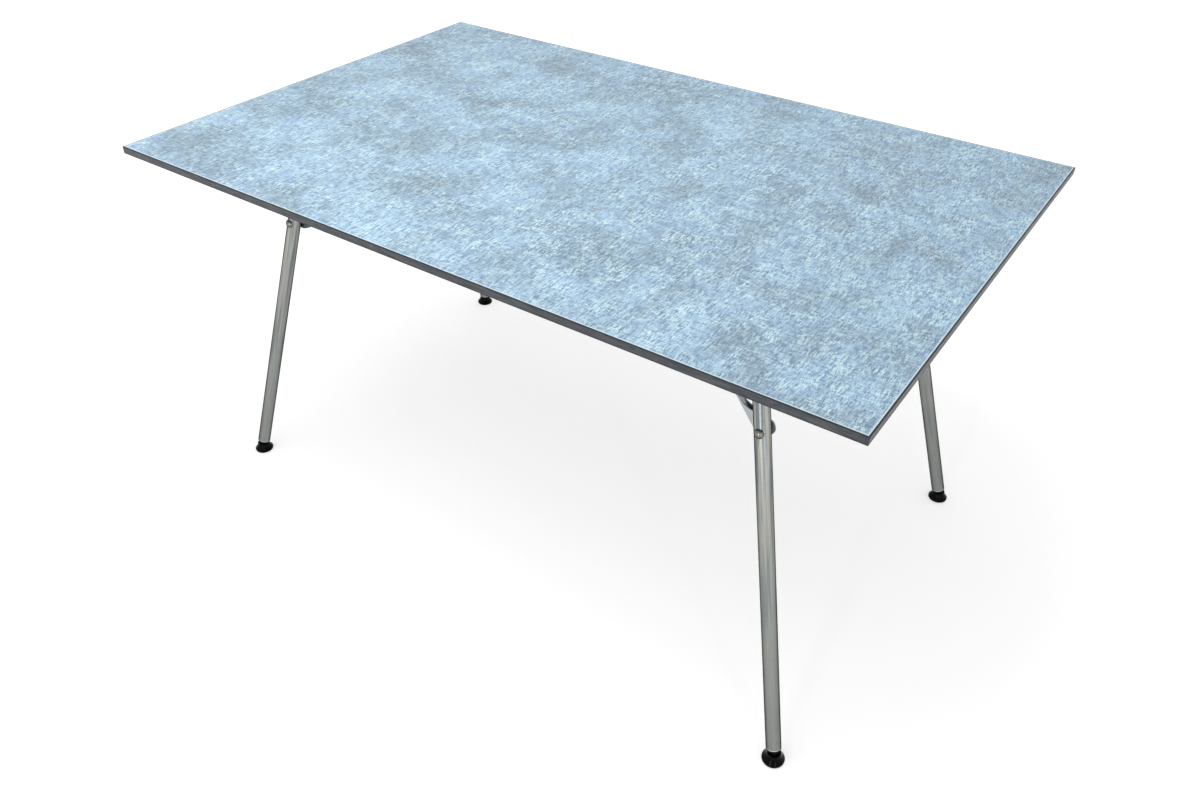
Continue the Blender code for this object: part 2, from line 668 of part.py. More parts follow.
def add_part(name, mesh, finish, location, parent=None):
    """Put a mesh in the table as a named part with its own material."""
    mesh.name = name
    mesh.shade_smooth()
    mesh.set_sharp_from_angle(angle=SMOOTH_ANGLE)
    mesh.materials.append(new_material(name, finish))
    obj = new_object(name, mesh, table)
    obj.parent = parent
    obj.location = location
    return obj


def add_axis(name, matrix, parent=None):
    """An empty on a joint's axis, which carries the pieces that turn about it."""
    empty = new_object(name, None, table)
    empty.empty_display_size = TUBE_DIAMETER
    empty.parent = parent
    empty.matrix_local = matrix
    return empty


def build_board():
    trim = 2 * (BAND_THICKNESS + SEAT_GAP)
    level = UNDERSIDE
    for name, thickness, finish in (("balance_laminate", BALANCE_THICKNESS, "balance"),
                                    ("top_core", CORE_THICKNESS, "core"),
                                    ("decor_laminate", DECOR_THICKNESS, "decor")):
        mesh = block((TOP_LENGTH - trim, TOP_WIDTH - trim, thickness))
        add_part(name, mesh, finish, (0, 0, level + thickness / 2))
        level += thickness + GLUE_LINE
    middle = UNDERSIDE + BOARD_THICKNESS / 2
    bands = (("edge_band_front", TOP_LENGTH, (0, -TOP_WIDTH / 2, middle), 0),
             ("edge_band_right", TOP_WIDTH, (TOP_LENGTH / 2, 0, middle), 90),
             ("edge_band_back", TOP_LENGTH, (0, TOP_WIDTH / 2, middle), 180),
             ("edge_band_left", TOP_WIDTH, (-TOP_LENGTH / 2, 0, middle), 270))
    for name, length, location, turn in bands:
        band = add_part(name, make_band(length), "band", location)
        band.rotation_euler.z = math.radians(turn)


def leg_pieces():
    """One of each leg piece: mesh, finish, the axis that carries it, and its place along and up."""
    rivet = (0.0, -STAY_RIVET_DROP)
    catch = (CATCH_ALONG, CATCH_UP)
    return {
        "hinge_bracket": (make_hinge_bracket(), "steel", "hinge_plane", (0.0, 0.0)),
        "hinge_rivet": (make_hinge_rivet(), "rivet", "hinge_plane", (0.0, 0.0)),
        "catch_bracket": (make_catch_bracket(), "steel", "hinge_plane", catch),
        "catch_pin": (make_catch_pin(), "rivet", "hinge_plane", catch),
        "leg_head": (make_leg_head(), "nylon", "leg_axis", (0.0, 0.0)),
        "head_rivet": (make_head_rivet(), "rivet", "leg_axis", (0.0, -HEAD_RIVET_DROP)),
        "leg_tube": (make_leg_tube(), "aluminium", "leg_axis", (0.0, 0.0)),
        "stay_washer": (make_stay_washer(), "nylon", "leg_axis", rivet),
        "stay_rivet": (make_stay_rivet(), "rivet", "leg_axis", rivet),
        "stay": (make_stay(), "steel", "stay_axis", (0.0, 0.0)),
        "foot_plug": (make_foot_plug(), "nylon", "leg_axis", (0.0, -LEG_LENGTH)),
        "swivel_foot": (make_swivel_foot(), "foot", "foot_axis", (0.0, 0.0)),
    }


def build_leg(corner, end, side, pieces):
    """One leg with its brackets. The legs of one diagonal mirror those of the other."""
    hand = 1 if end == side else -1
    place = Matrix.Translation((end * PIVOT_X, side * (PIVOT_Y - hand * STAGGER / 2), PIVOT_Z))
    facing = turn_about("Z", math.radians(90 + 90 * side))
    tilt = turn_about("X", -TILT)
    lean = turn_about("Y", hand * LEAN)
    slope = turn_about("Y", -hand * (STAY_SLOPE + LEAN))
    drop = Matrix.Translation((0.0, 0.0, -STAY_RIVET_DROP))
    ball = Matrix.Translation((0.0, 0.0, -LEG_LENGTH))
    plane = add_axis("hinge_plane_" + corner, place @ facing @ tilt)
    leg = add_axis("leg_axis_" + corner, lean, plane)
    axes = {
        "hinge_plane": plane,
        "leg_axis": leg,
        "stay_axis": add_axis("stay_axis_" + corner, drop @ slope, leg),
        "foot_axis": add_axis("foot_axis_" + corner, ball @ (tilt @ lean).inverted(), leg),
    }
    for name, (mesh, finish, carrier, (along, up)) in pieces.items():
        own = mesh.copy()
        if hand < 0:
            own.transform(Matrix.Diagonal((-1, 1, 1, 1)))
            own.flip_normals()
        add_part(name + "_" + corner, own, finish, (hand * along, 0.0, up), axes[carrier])


clear_scene()
table = new_collection("folding_dining_table")
cutters = new_collection("cutters")
cutters.hide_render = True
build_board()
pieces_of_one_leg = leg_pieces()
for corner_name, corner_end, corner_side in CORNERS:
    build_leg(corner_name, corner_end, corner_side, pieces_of_one_leg)
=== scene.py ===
"""Looks of the folding dining table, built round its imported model."""
import math

import bmesh
import bpy
from mathutils import Matrix, Vector


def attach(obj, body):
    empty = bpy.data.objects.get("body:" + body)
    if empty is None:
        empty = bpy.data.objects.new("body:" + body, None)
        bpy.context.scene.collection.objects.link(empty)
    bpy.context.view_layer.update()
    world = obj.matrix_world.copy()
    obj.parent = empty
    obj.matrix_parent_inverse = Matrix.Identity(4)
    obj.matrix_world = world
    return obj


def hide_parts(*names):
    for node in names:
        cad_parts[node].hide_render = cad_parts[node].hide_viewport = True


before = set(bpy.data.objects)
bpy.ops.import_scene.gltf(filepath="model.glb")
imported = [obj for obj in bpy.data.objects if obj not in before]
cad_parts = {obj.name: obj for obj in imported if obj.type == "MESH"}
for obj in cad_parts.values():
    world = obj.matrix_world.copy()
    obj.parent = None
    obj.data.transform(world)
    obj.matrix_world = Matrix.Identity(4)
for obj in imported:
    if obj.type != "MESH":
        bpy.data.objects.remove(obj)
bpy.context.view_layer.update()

# ---- Sizes of the solids, in metres

# The board, and the gap between pieces that touch
TOP_LENGTH, TOP_WIDTH, TABLE_HEIGHT = 1.400, 0.900, 0.730
BOARD_THICKNESS = 0.0130
BAND_THICKNESS, BAND_EDGE = 0.0020, 0.0007
GAP = 0.0003
UNDERSIDE = TABLE_HEIGHT - BOARD_THICKNESS

# A leg's pivot and ball in the table's frame, without their signs, and what lies along its axis
PIVOT_DROP = 0.029
PIVOT = (0.480, 0.264, UNDERSIDE - PIVOT_DROP)
FOOT = (0.646, 0.382)
STAGGER = 0.048
TUBE_RADIUS, TUBE_WALL = 0.0127, 0.0015
TUBE_BORE = TUBE_RADIUS - TUBE_WALL
HEAD_DROP, HEAD_RIVET_DROP = 0.0180, 0.0360
BALL_HEIGHT, BALL_RADIUS = 0.0130, 0.0065
RIM_ABOVE_BALL = 0.0148

# The stay, its catch, and the bracket of the leg
STAY_SHEET, STAY_WIDTH, STAY_EAR = 0.0025, 0.0140, 0.0130
STAY_SLOPE = math.radians(48.2)
STAY_RIVET_DROP, STAY_OFFSET = 0.1335, 0.0212
WASHER_THICKNESS = 0.0008
CATCH_DEPTH, CATCH_SHEET, CATCH_PIN, CATCH_PLAY = 0.0120, 0.0020, 0.0070, 0.0006
BRACKET_SHEET, BRACKET_BEND = 0.0025, 0.0015

# Radii of the shanks and of the holes
RIVET_SHANK, RIVET_BORE = 0.0040, 0.0043
HEAD_RIVET_SHANK, HEAD_RIVET_BORE = 0.0020, 0.0023
PIN_BORE, SCREW_BORE = 0.0038, 0.00225

# How far a cutting shape reaches past what it cuts
SPARE = 0.002

# What follows from the sizes. In a leg's own plane, along is +X, across is +Y and up is +Z.
LEG_DROP = PIVOT[2] - BALL_HEIGHT
TILT = math.atan2(FOOT[1] - PIVOT[1], LEG_DROP)
LEAN = math.atan2((FOOT[0] - PIVOT[0]) * math.cos(TILT), LEG_DROP)
LEG_LENGTH = math.sqrt((FOOT[0] - PIVOT[0]) ** 2 + (FOOT[1] - PIVOT[1]) ** 2 + LEG_DROP ** 2)
EAR_OUTER = TUBE_RADIUS + GAP + BRACKET_SHEET
WASHER_NEAR, WASHER_FAR = TUBE_RADIUS + GAP, TUBE_RADIUS + GAP + WASHER_THICKNESS
STAY_NEAR = WASHER_FAR + GAP
STAY_FAR = STAY_NEAR + STAY_WIDTH
STAY_MIDDLE = (STAY_NEAR + STAY_FAR) / 2
CATCH_NEAR = STAY_NEAR - CATCH_PLAY - CATCH_SHEET
CATCH_FAR = STAY_FAR + CATCH_PLAY + CATCH_SHEET
RIVET_ALONG, RIVET_UP = -STAY_RIVET_DROP * math.sin(LEAN), -STAY_RIVET_DROP * math.cos(LEAN)
HOOK_RADIUS = CATCH_PIN / 2 + GAP
PIN_OFFSET = STAY_OFFSET - STAY_SHEET - HOOK_RADIUS
CATCH_UP = (PIVOT_DROP - CATCH_DEPTH + STAY_MIDDLE * math.sin(TILT)) / math.cos(TILT)
STAY_REACH = (CATCH_UP - RIVET_UP + PIN_OFFSET * math.cos(STAY_SLOPE)) / math.sin(STAY_SLOPE)
CATCH_ALONG = (RIVET_ALONG + STAY_REACH * math.cos(STAY_SLOPE)
               + PIN_OFFSET * math.sin(STAY_SLOPE))

# Each corner's name, its end of the table along X and its side along Y
CORNERS = (("front_left", -1, -1), ("front_right", 1, -1),
           ("rear_left", -1, 1), ("rear_right", 1, 1))


# ---- Node materials

class Surface:
    """A Principled material and short calls for the nodes that feed it."""

    def __init__(self, name, roughness, metallic=0.0, specular=0.5, edge_tint=1.0):
        self.material = bpy.data.materials.new(name)
        self.material.use_nodes = True
        self.tree = self.material.node_tree
        self.shader = self.tree.nodes["Principled BSDF"]
        self.shader.inputs["Metallic"].default_value = metallic
        self.shader.inputs["Roughness"].default_value = roughness
        self.shader.inputs["Specular IOR Level"].default_value = specular
        self.shader.inputs["Specular Tint"].default_value = (edge_tint, edge_tint, edge_tint, 1.0)
        self.coords = self.tree.nodes.new("ShaderNodeTexCoord").outputs["Object"]

    def node(self, kind, **values):
        node = self.tree.nodes.new(kind)
        for key, value in values.items():
            setattr(node, key, value)
        return node

    def link(self, source, target):
        self.tree.links.new(source, target)

    def feed(self, socket, value):
        """A number or a colour is set on the socket, and anything else is linked to it."""
        if isinstance(value, (int, float)):
            socket.default_value = value
        elif isinstance(value, tuple):
            socket.default_value = (*value, 1.0)
        else:
            self.link(value, socket)

    def mapped(self, scale=(1, 1, 1), rotation=(0, 0, 0), location=(0, 0, 0), source=None):
        node = self.node("ShaderNodeMapping")
        node.inputs["Scale"].default_value = scale
        node.inputs["Rotation"].default_value = rotation
        node.inputs["Location"].default_value = location
        self.link(source or self.coords, node.inputs["Vector"])
        return node.outputs["Vector"]

    def noise(self, vector, scale, detail=2.0, roughness=0.5, distortion=0.0):
        node = self.node("ShaderNodeTexNoise")
        node.inputs["Scale"].default_value = scale
        node.inputs["Detail"].default_value = detail
        node.inputs["Roughness"].default_value = roughness
        node.inputs["Distortion"].default_value = distortion
        self.link(vector, node.inputs["Vector"])
        return node.outputs["Fac"]

    def cells(self, scale):
        node = self.node("ShaderNodeTexVoronoi")
        node.inputs["Scale"].default_value = scale
        self.link(self.coords, node.inputs["Vector"])
        return node.outputs["Distance"]

    def axes(self):
        node = self.node("ShaderNodeSeparateXYZ")
        self.link(self.coords, node.inputs["Vector"])
        return node.outputs

    def ramp(self, value, stops):
        """Each stop is a position and a colour, or a number for a grey."""
        node = self.node("ShaderNodeValToRGB")
        elements = node.color_ramp.elements
        while len(elements) < len(stops):
            elements.new(0.5)
        for element, (position, colour) in zip(elements, stops):
            element.position = position
            element.color = (*(colour if isinstance(colour, tuple) else (colour,) * 3), 1.0)
        self.link(value, node.inputs["Fac"])
        return node.outputs["Color"]

    def math(self, operation, *values):
        node = self.node("ShaderNodeMath", operation=operation)
        for socket, value in zip(node.inputs, values):
            self.feed(socket, value)
        return node.outputs["Value"]

    def in_cm(self, metres):
        """Metres as centimetres, so that a ramp's stops can lie fractions of a millimetre apart."""
        return self.math("MULTIPLY", metres, 100.0)

    def mix(self, factor, a, b):
        node = self.node("ShaderNodeMix", data_type="RGBA")
        for name, value in (("Factor", factor), ("A", a), ("B", b)):
            self.feed(node.inputs[name], value)
        return node.outputs["Result"]

    def bump(self, height, strength, distance):
        node = self.node("ShaderNodeBump")
        node.inputs["Strength"].default_value = strength
        node.inputs["Distance"].default_value = distance
        self.link(height, node.inputs["Height"])
        self.link(node.outputs["Normal"], self.shader.inputs["Normal"])

    def colour(self, source):
        self.feed(self.shader.inputs["Base Color"], source)

    def rough(self, source):
        self.feed(self.shader.inputs["Roughness"], source)


def decor_strokes(s):
    """Short drawn strokes, most of them across the board and some along it, as one height."""
    strokes = None
    for index, (angle, scale) in enumerate(((1.42, 580.0), (1.72, 520.0),
                                            (1.55, 380.0), (-0.12, 440.0))):
        turned_about = s.mapped(rotation=(0, 0, angle), location=(index * 0.37, index * 0.61, 0))
        drawn = s.mapped(scale=(0.17, 1.0, 1.0), source=turned_about)
        line = s.noise(drawn, scale, 2.0, 0.75, 0.5)
        strokes = line if strokes is None else s.math("ADD", strokes, line)
    return s.math("MULTIPLY", strokes, 0.25)


def decor_material():
    """Stone-look decor: a cloudy blue-grey ground under short pale strokes that cross."""
    s = Surface("decor_stone", roughness=0.42)

    # The ground: clouds, and greyer bare patches
    clouds = s.noise(s.mapped(scale=(1.0, 1.25, 1.0)), 5.2, 5.0, 0.60, 0.6)
    spread = s.mapped(scale=(1.3, 1.0, 1.0), location=(3.1, 1.7, 0))
    bare = s.ramp(s.noise(spread, 8.0, 6.0, 0.62, 0.25), [(0.44, 0.0), (0.68, 1.0)])
    ground = s.ramp(clouds, [(0.34, (0.250, 0.366, 0.500)), (0.45, (0.345, 0.518, 0.725)),
                             (0.55, (0.385, 0.590, 0.824)), (0.66, (0.444, 0.670, 0.885))])
    ground = s.mix(s.math("MULTIPLY", bare, 0.85), ground, (0.222, 0.300, 0.368))

    # Dark and pale grit in it
    strewn = s.mapped(scale=(1.0, 1.3, 1.0), location=(1.7, 0.3, 0))
    grit = s.noise(strewn, 110.0, 3.0, 0.7, 0.4)
    ground = s.mix(s.ramp(grit, [(0.36, 0.50), (0.50, 0.0)]), ground, (0.186, 0.276, 0.372))
    ground = s.mix(s.ramp(grit, [(0.52, 0.0), (0.68, 0.45)]), ground, (0.590, 0.825, 0.950))

    # Pale strokes, thinned where the veil is thin and on the bare patches, with dark gaps
    strokes = decor_strokes(s)
    veil = s.ramp(s.noise(s.mapped(location=(0.4, 0.2, 0)), 34.0, 4.0, 0.65),
                  [(0.38, 0.25), (0.60, 1.0)])
    pale = s.math("MULTIPLY", s.ramp(strokes, [(0.490, 0.0), (0.546, 1.0)]), veil)
    pale = s.math("MULTIPLY", pale, s.ramp(bare, [(0.0, 1.0), (1.0, 0.5)]))
    colour = s.mix(pale, ground, (0.730, 0.960, 1.000))
    sunk = s.math("MULTIPLY", s.ramp(strokes, [(0.42, 0.80), (0.495, 0.0)]),
                  s.ramp(veil, [(0.0, 0.6), (1.0, 1.0)]))
    colour = s.mix(sunk, colour, (0.118, 0.194, 0.290))

    # A pale line along the cut edge: a painted highlight on the edge of the board
    x, y, _ = s.axes()
    inset = BAND_THICKNESS + GAP
    edge_x = s.math("SUBTRACT", TOP_LENGTH / 2 - inset, s.math("ABSOLUTE", x))
    edge_y = s.math("SUBTRACT", TOP_WIDTH / 2 - inset, s.math("ABSOLUTE", y))
    rim = s.ramp(s.in_cm(s.math("MINIMUM", edge_x, edge_y)), [(0.17, 0.9), (0.22, 0.0)])
    s.colour(s.mix(rim, colour, (0.70, 0.88, 0.97)))
    s.rough(s.ramp(strokes, [(0.42, 0.56), (0.58, 0.46)]))
    s.bump(strokes, 0.22, 0.00012)
    return s.material


def band_material():
    """Dark grey edging with faint drawn streaks along it, and painted shade on its rolled edges and
    along its lower edge.
    """
    s = Surface("edging_grey", roughness=0.45, specular=0.35)
    streaks = s.noise(s.mapped(scale=(0.06, 1.0, 1.0)), 420.0, 3.0, 0.6, 0.5)
    drawn_out = s.mapped(scale=(0.16, 1.0, 1.0), location=(0.3, 0, 0.7))
    waves = s.noise(drawn_out, 160.0, 3.0, 0.6, 1.2)
    colour = s.ramp(waves, [(0.34, (0.029, 0.036, 0.046)), (0.50, (0.058, 0.066, 0.079)),
                            (0.66, (0.106, 0.114, 0.124))])
    colour = s.mix(s.ramp(streaks, [(0.35, 0.0), (0.75, 0.35)]), colour, (0.128, 0.133, 0.140))
    # Painted shade: the colour goes nearly black on the rolled top and bottom edges and in a line
    # along the lower edge
    z = s.axes()[2]
    half = BOARD_THICKNESS / 2
    from_edge = s.math("SUBTRACT", half, s.math("ABSOLUTE", z))
    painted_shade_lips = s.ramp(s.in_cm(from_edge), [(0.05, 1.0), (0.12, 0.0)])
    painted_shade_foot_line = s.ramp(s.in_cm(s.math("ADD", z, half)), [(0.14, 1.0), (0.22, 0.0)])
    dark = s.math("MULTIPLY", s.math("MAXIMUM", painted_shade_lips, painted_shade_foot_line), 0.95)
    s.colour(s.mix(dark, colour, (0.004, 0.004, 0.005)))
    s.rough(s.ramp(streaks, [(0.3, 0.52), (0.7, 0.38)]))
    s.bump(streaks, 0.18, 0.0001)
    return s.material


def aluminium_material():
    """Satin anodised tube: fine die lines, broad bands of painted reflection that are strongest
    near its top, and a bare bright cut end.
    """
    s = Surface("tube_aluminium", roughness=0.30, metallic=1.0, edge_tint=0.12)
    lines = s.noise(s.mapped(scale=(1.0, 1.0, 0.010)), 800.0, 3.0, 0.65)
    # Painted reflection: broad light and dark bands round the tube, warm and blue-grey like the
    # surroundings it mirrors
    broad = s.noise(s.mapped(scale=(1.0, 1.0, 0.04)), 150.0, 1.0, 0.5)
    cloud = s.noise(s.coords, 22.0, 3.0, 0.55, 0.3)
    painted_reflection_stripes = s.ramp(broad, [(0.36, (0.125, 0.155, 0.172)), (0.43, (0.260, 0.286, 0.290)),
                             (0.50, (0.440, 0.426, 0.366)), (0.60, (0.350, 0.350, 0.310)),
                             (0.64, (0.225, 0.238, 0.238))])
    # The painted reflection is strongest near the top and fades into a plain tone lower down
    above_cut = s.math("ADD", s.axes()[2], LEG_LENGTH - RIM_ABOVE_BALL)
    fade = s.ramp(above_cut, [(0.12, 0.12), (0.62, 0.85)])
    tone = s.mix(fade, (0.250, 0.263, 0.252), painted_reflection_stripes)
    tone = s.mix(s.ramp(lines, [(0.42, 0.0), (0.70, 0.45)]), tone, (0.170, 0.185, 0.190))
    tone = s.mix(s.ramp(cloud, [(0.40, 0.0), (0.70, 0.20)]), tone, (0.300, 0.295, 0.260))
    cut = s.ramp(s.in_cm(above_cut), [(0.10, 1.0), (0.14, 0.0)])
    s.colour(s.mix(cut, tone, (0.80, 0.81, 0.80)))
    wear = s.math("ADD", s.math("MULTIPLY", lines, 0.6), s.math("MULTIPLY", cloud, 0.4))
    s.rough(s.ramp(wear, [(0.35, 0.25), (0.65, 0.34)]))
    s.bump(lines, 0.04, 0.00004)
    return s.material


def steel_material():
    """Bright zinc plating on pressed steel: soft spangle, drawn marks, duller in patches."""
    s = Surface("plated_steel", roughness=0.34, metallic=1.0, edge_tint=0.35)
    spangle = s.cells(260.0)
    cloud = s.noise(s.coords, 55.0, 4.0, 0.6, 0.8)
    drawn = s.noise(s.mapped(scale=(0.03, 1.0, 1.0)), 700.0, 2.0, 0.6)
    tone = s.ramp(cloud, [(0.30, (0.22, 0.25, 0.27)), (0.50, (0.34, 0.37, 0.39)),
                          (0.72, (0.27, 0.29, 0.30))])
    tone = s.mix(s.ramp(spangle, [(0.15, 0.12), (0.60, 0.0)]), tone, (0.50, 0.54, 0.57))
    tone = s.mix(s.ramp(drawn, [(0.5, 0.0), (0.8, 0.22)]), tone, (0.20, 0.21, 0.22))
    s.colour(tone)
    s.rough(s.ramp(cloud, [(0.3, 0.26), (0.7, 0.44)]))
    s.bump(s.math("ADD", drawn, s.math("MULTIPLY", cloud, 0.5)), 0.12, 0.00006)
    return s.material


def rivet_material():
    """Polished rivet metal with faint nicks."""
    s = Surface("rivet_metal", roughness=0.11, metallic=1.0, edge_tint=0.10)
    cloud = s.noise(s.coords, 120.0, 3.0, 0.6)
    nicks = s.noise(s.mapped(scale=(1.0, 1.0, 0.3)), 900.0, 2.0, 0.7)
    tone = s.ramp(cloud, [(0.35, (0.165, 0.155, 0.14)), (0.65, (0.225, 0.212, 0.19))])
    s.colour(s.mix(s.ramp(nicks, [(0.58, 0.0), (0.75, 0.35)]), tone, (0.15, 0.14, 0.13)))
    s.rough(s.ramp(cloud, [(0.3, 0.08), (0.7, 0.15)]))
    s.bump(nicks, 0.04, 0.00003)
    return s.material


def nylon_material():
    """Moulded black nylon with a fine spark-eroded grain."""
    s = Surface("black_nylon", roughness=0.46)
    grain = s.noise(s.coords, 1400.0, 2.0, 0.6)
    cloud = s.noise(s.coords, 60.0, 3.0, 0.5)
    s.colour(s.ramp(cloud, [(0.35, (0.016, 0.016, 0.017)), (0.65, (0.028, 0.028, 0.030))]))
    s.rough(s.ramp(grain, [(0.35, 0.40), (0.65, 0.54)]))
    s.bump(grain, 0.25, 0.00005)
    return s.material


def foot_material():
    """Glossy black moulding with light dust, a little rubbed near the floor."""
    s = Surface("gloss_black", roughness=0.08, specular=0.06)
    dust = s.noise(s.coords, 300.0, 4.0, 0.65)
    scuffs = s.noise(s.mapped(scale=(1.0, 1.0, 4.0)), 120.0, 3.0, 0.6, 0.6)
    above_floor = s.math("ADD", s.axes()[2], BALL_HEIGHT)
    low = s.ramp(s.in_cm(above_floor), [(0.05, 1.0), (0.55, 0.0)])
    worn = s.math("MULTIPLY", low, s.ramp(scuffs, [(0.48, 0.0), (0.70, 1.0)]))
    s.colour(s.mix(s.math("MULTIPLY", worn, 0.25),
                   (0.0015, 0.0018, 0.0025), (0.018, 0.018, 0.018)))
    dull = s.math("ADD", s.math("MULTIPLY", worn, 0.5), s.math("MULTIPLY", dust, 0.3))
    s.rough(s.ramp(dull, [(0.08, 0.05), (0.60, 0.18)]))
    s.bump(dust, 0.03, 0.00003)
    return s.material


def balance_material():
    """Plain grey balancing sheet with a faint pressed grain."""
    s = Surface("balance_grey", roughness=0.58)
    cloud = s.noise(s.coords, 9.0, 4.0, 0.6, 0.5)
    grain = s.noise(s.mapped(scale=(0.5, 1.0, 1.0)), 700.0, 3.0, 0.6)
    tone = s.ramp(cloud, [(0.30, (0.46, 0.47, 0.47)), (0.70, (0.56, 0.57, 0.57))])
    s.colour(s.mix(s.ramp(grain, [(0.45, 0.0), (0.75, 0.25)]), tone, (0.36, 0.37, 0.37)))
    s.rough(s.ramp(grain, [(0.3, 0.62), (0.7, 0.50)]))
    s.bump(grain, 0.15, 0.00006)
    return s.material


def core_material():
    """Light plywood: thin plies seen edge on, with a soft grain along them."""
    s = Surface("core_ply", roughness=0.75)
    plies = s.math("PINGPONG", s.math("MULTIPLY", s.axes()[2], 450.0), 1.0)
    grain = s.noise(s.mapped(scale=(0.05, 0.05, 1.0)), 500.0, 3.0, 0.6, 0.4)
    tone = s.ramp(plies, [(0.40, (0.36, 0.24, 0.14)), (0.60, (0.52, 0.38, 0.23))])
    s.colour(s.mix(s.ramp(grain, [(0.4, 0.0), (0.75, 0.5)]), tone, (0.28, 0.18, 0.10)))
    s.bump(grain, 0.2, 0.0001)
    return s.material


# ---- Shapes

ALONG_Y = Matrix.Rotation(math.radians(90), 4, "X")
ALONG_X = Matrix.Rotation(math.radians(90), 4, "Y")


def down(distance):
    """A shift along a leg, from its pivot towards its foot."""
    return Matrix.Translation((0, 0, -distance))


def arc(centre, radius, start, end, steps):
    """Points on a circle, from the start angle to the end angle."""
    turns = [start + (end - start) * i / steps for i in range(steps + 1)]
    return [Vector((centre[0] + radius * math.cos(turn), centre[1] + radius * math.sin(turn)))
            for turn in turns]


def scratch_object(data):
    obj = bpy.data.objects.new("scratch", data)
    bpy.context.scene.collection.objects.link(obj)
    return obj


def mesh_of(shape, name):
    """The bmesh as a mesh. The bmesh is freed."""
    mesh = bpy.data.meshes.new(name)
    shape.to_mesh(mesh)
    shape.free()
    return mesh


def in_fixed_order(mesh):
    """The same mesh with its points and faces sorted: a Boolean orders them anew in each run."""
    spots = [tuple(vertex.co) for vertex in mesh.vertices]
    index_of = {spot: index for index, spot in enumerate(sorted(set(spots)))}
    faces = []
    for polygon in mesh.polygons:
        face = [index_of[spots[i]] for i in polygon.vertices]
        first = face.index(min(face))
        faces.append(face[first:] + face[:first])
    result = bpy.data.meshes.new("fixed")
    result.from_pydata(list(index_of), [], sorted(faces))
    return result


def baked(obj, *guides):
    """The mesh with its modifiers, welded and with faces outward. The objects are removed."""
    weld = 0.000002
    bpy.context.view_layer.update()
    graph = bpy.context.evaluated_depsgraph_get()
    mesh = bpy.data.meshes.new_from_object(obj.evaluated_get(graph))
    mesh.transform(obj.matrix_world)
    for each in (obj, *guides):
        bpy.data.objects.remove(each, do_unlink=True)
    shape = bmesh.new()
    shape.from_mesh(in_fixed_order(mesh))
    bmesh.ops.remove_doubles(shape, verts=shape.verts, dist=weld)
    bmesh.ops.dissolve_degenerate(shape, edges=shape.edges, dist=weld)
    bmesh.ops.recalc_face_normals(shape, faces=shape.faces)
    return mesh_of(shape, "baked")


def turned(profile, sides, closed=False):
    """A profile of (radius, height), down its outer side, turned about Z."""
    edges = [(i, i + 1) for i in range(len(profile) - 1)]
    if closed:
        edges.append((len(profile) - 1, 0))
    mesh = bpy.data.meshes.new("profile")
    mesh.from_pydata([(radius, 0.0, height) for radius, height in profile], edges, [])
    obj = scratch_object(mesh)
    screw = obj.modifiers.new("turn", "SCREW")
    screw.steps = screw.render_steps = sides
    screw.use_merge_vertices = True
    screw.merge_threshold = 0.000001
    return baked(obj)


def rod(radius, low, high, sides):
    """A round bar along Z."""
    shape = bmesh.new()
    bmesh.ops.create_cone(shape, cap_ends=True, segments=sides, radius1=radius, radius2=radius,
                          depth=high - low, matrix=Matrix.Translation((0, 0, (low + high) / 2)))
    return mesh_of(shape, "rod")


def plate(outline, low, high):
    """A flat outline in the XZ plane, given thickness from low to high along Y."""
    shape = bmesh.new()
    face = shape.faces.new([shape.verts.new((x, low, z)) for x, z in outline])
    made = bmesh.ops.extrude_face_region(shape, geom=[face])
    for item in made["geom"]:
        if isinstance(item, bmesh.types.BMVert):
            item.co.y = high
    bmesh.ops.recalc_face_normals(shape, faces=shape.faces)
    return mesh_of(shape, "plate")


def combined(operation, mesh, *tools):
    """The mesh, with the Boolean operation done by each tool in turn."""
    for tool in tools:
        obj, guide = scratch_object(mesh), scratch_object(tool)
        boolean = obj.modifiers.new("combine", "BOOLEAN")
        boolean.operation = operation
        boolean.solver = "EXACT"
        boolean.object = guide
        mesh = baked(obj, guide)
    return mesh


def moved(mesh, matrix):
    mesh.transform(matrix)
    return mesh


def crossing(p, along_p, q, along_q):
    """Where the line through p crosses the line through q."""
    cross = along_p.x * along_q.y - along_p.y * along_q.x
    step = q - p
    return p + along_p * ((step.x * along_q.y - step.y * along_q.x) / cross)


def offset_path(points, distance):
    """The path, shifted to its right."""
    headings = [(b - a).normalized() for a, b in zip(points, points[1:])]
    shifts = [Vector((h.y, -h.x)) * distance for h in headings]
    result = [points[0] + shifts[0]]
    for i, corner in enumerate(points[1:-1]):
        result.append(crossing(corner + shifts[i], headings[i],
                               corner + shifts[i + 1], headings[i + 1]))
    result.append(points[-1] + shifts[-1])
    return result


def rounded_path(points, radius, steps):
    """The path with an arc at each of its corners."""
    result = [points[0]]
    for before, corner, after in zip(points, points[1:], points[2:]):
        back, ahead = (before - corner).normalized(), (after - corner).normalized()
        half = back.angle(ahead) / 2
        centre = corner + (back + ahead).normalized() * (radius / math.sin(half))
        first = corner + back * (radius / math.tan(half)) - centre
        last = corner + ahead * (radius / math.tan(half)) - centre
        start = math.atan2(first.y, first.x)
        turn = math.remainder(math.atan2(last.y, last.x) - start, math.tau)
        result += arc(centre, radius, start, start + turn, steps)
    result.append(points[-1])
    return result


def folded_sheet(outer, sheet, bend):
    """The outer and the inner path of a sheet, rounded at its folds."""
    points, steps = [Vector(point) for point in outer], 8
    return (rounded_path(points, bend + sheet, steps),
            rounded_path(offset_path(points, sheet), bend, steps))


def dome(radius, height, base, steps):
    """The profile of a part of a sphere, from its top down to its base."""
    sphere = (radius ** 2 + height ** 2) / (2 * height)
    half = math.asin(radius / sphere)
    return arc((0.0, base + height - sphere), sphere, math.pi / 2, math.pi / 2 - half, steps)


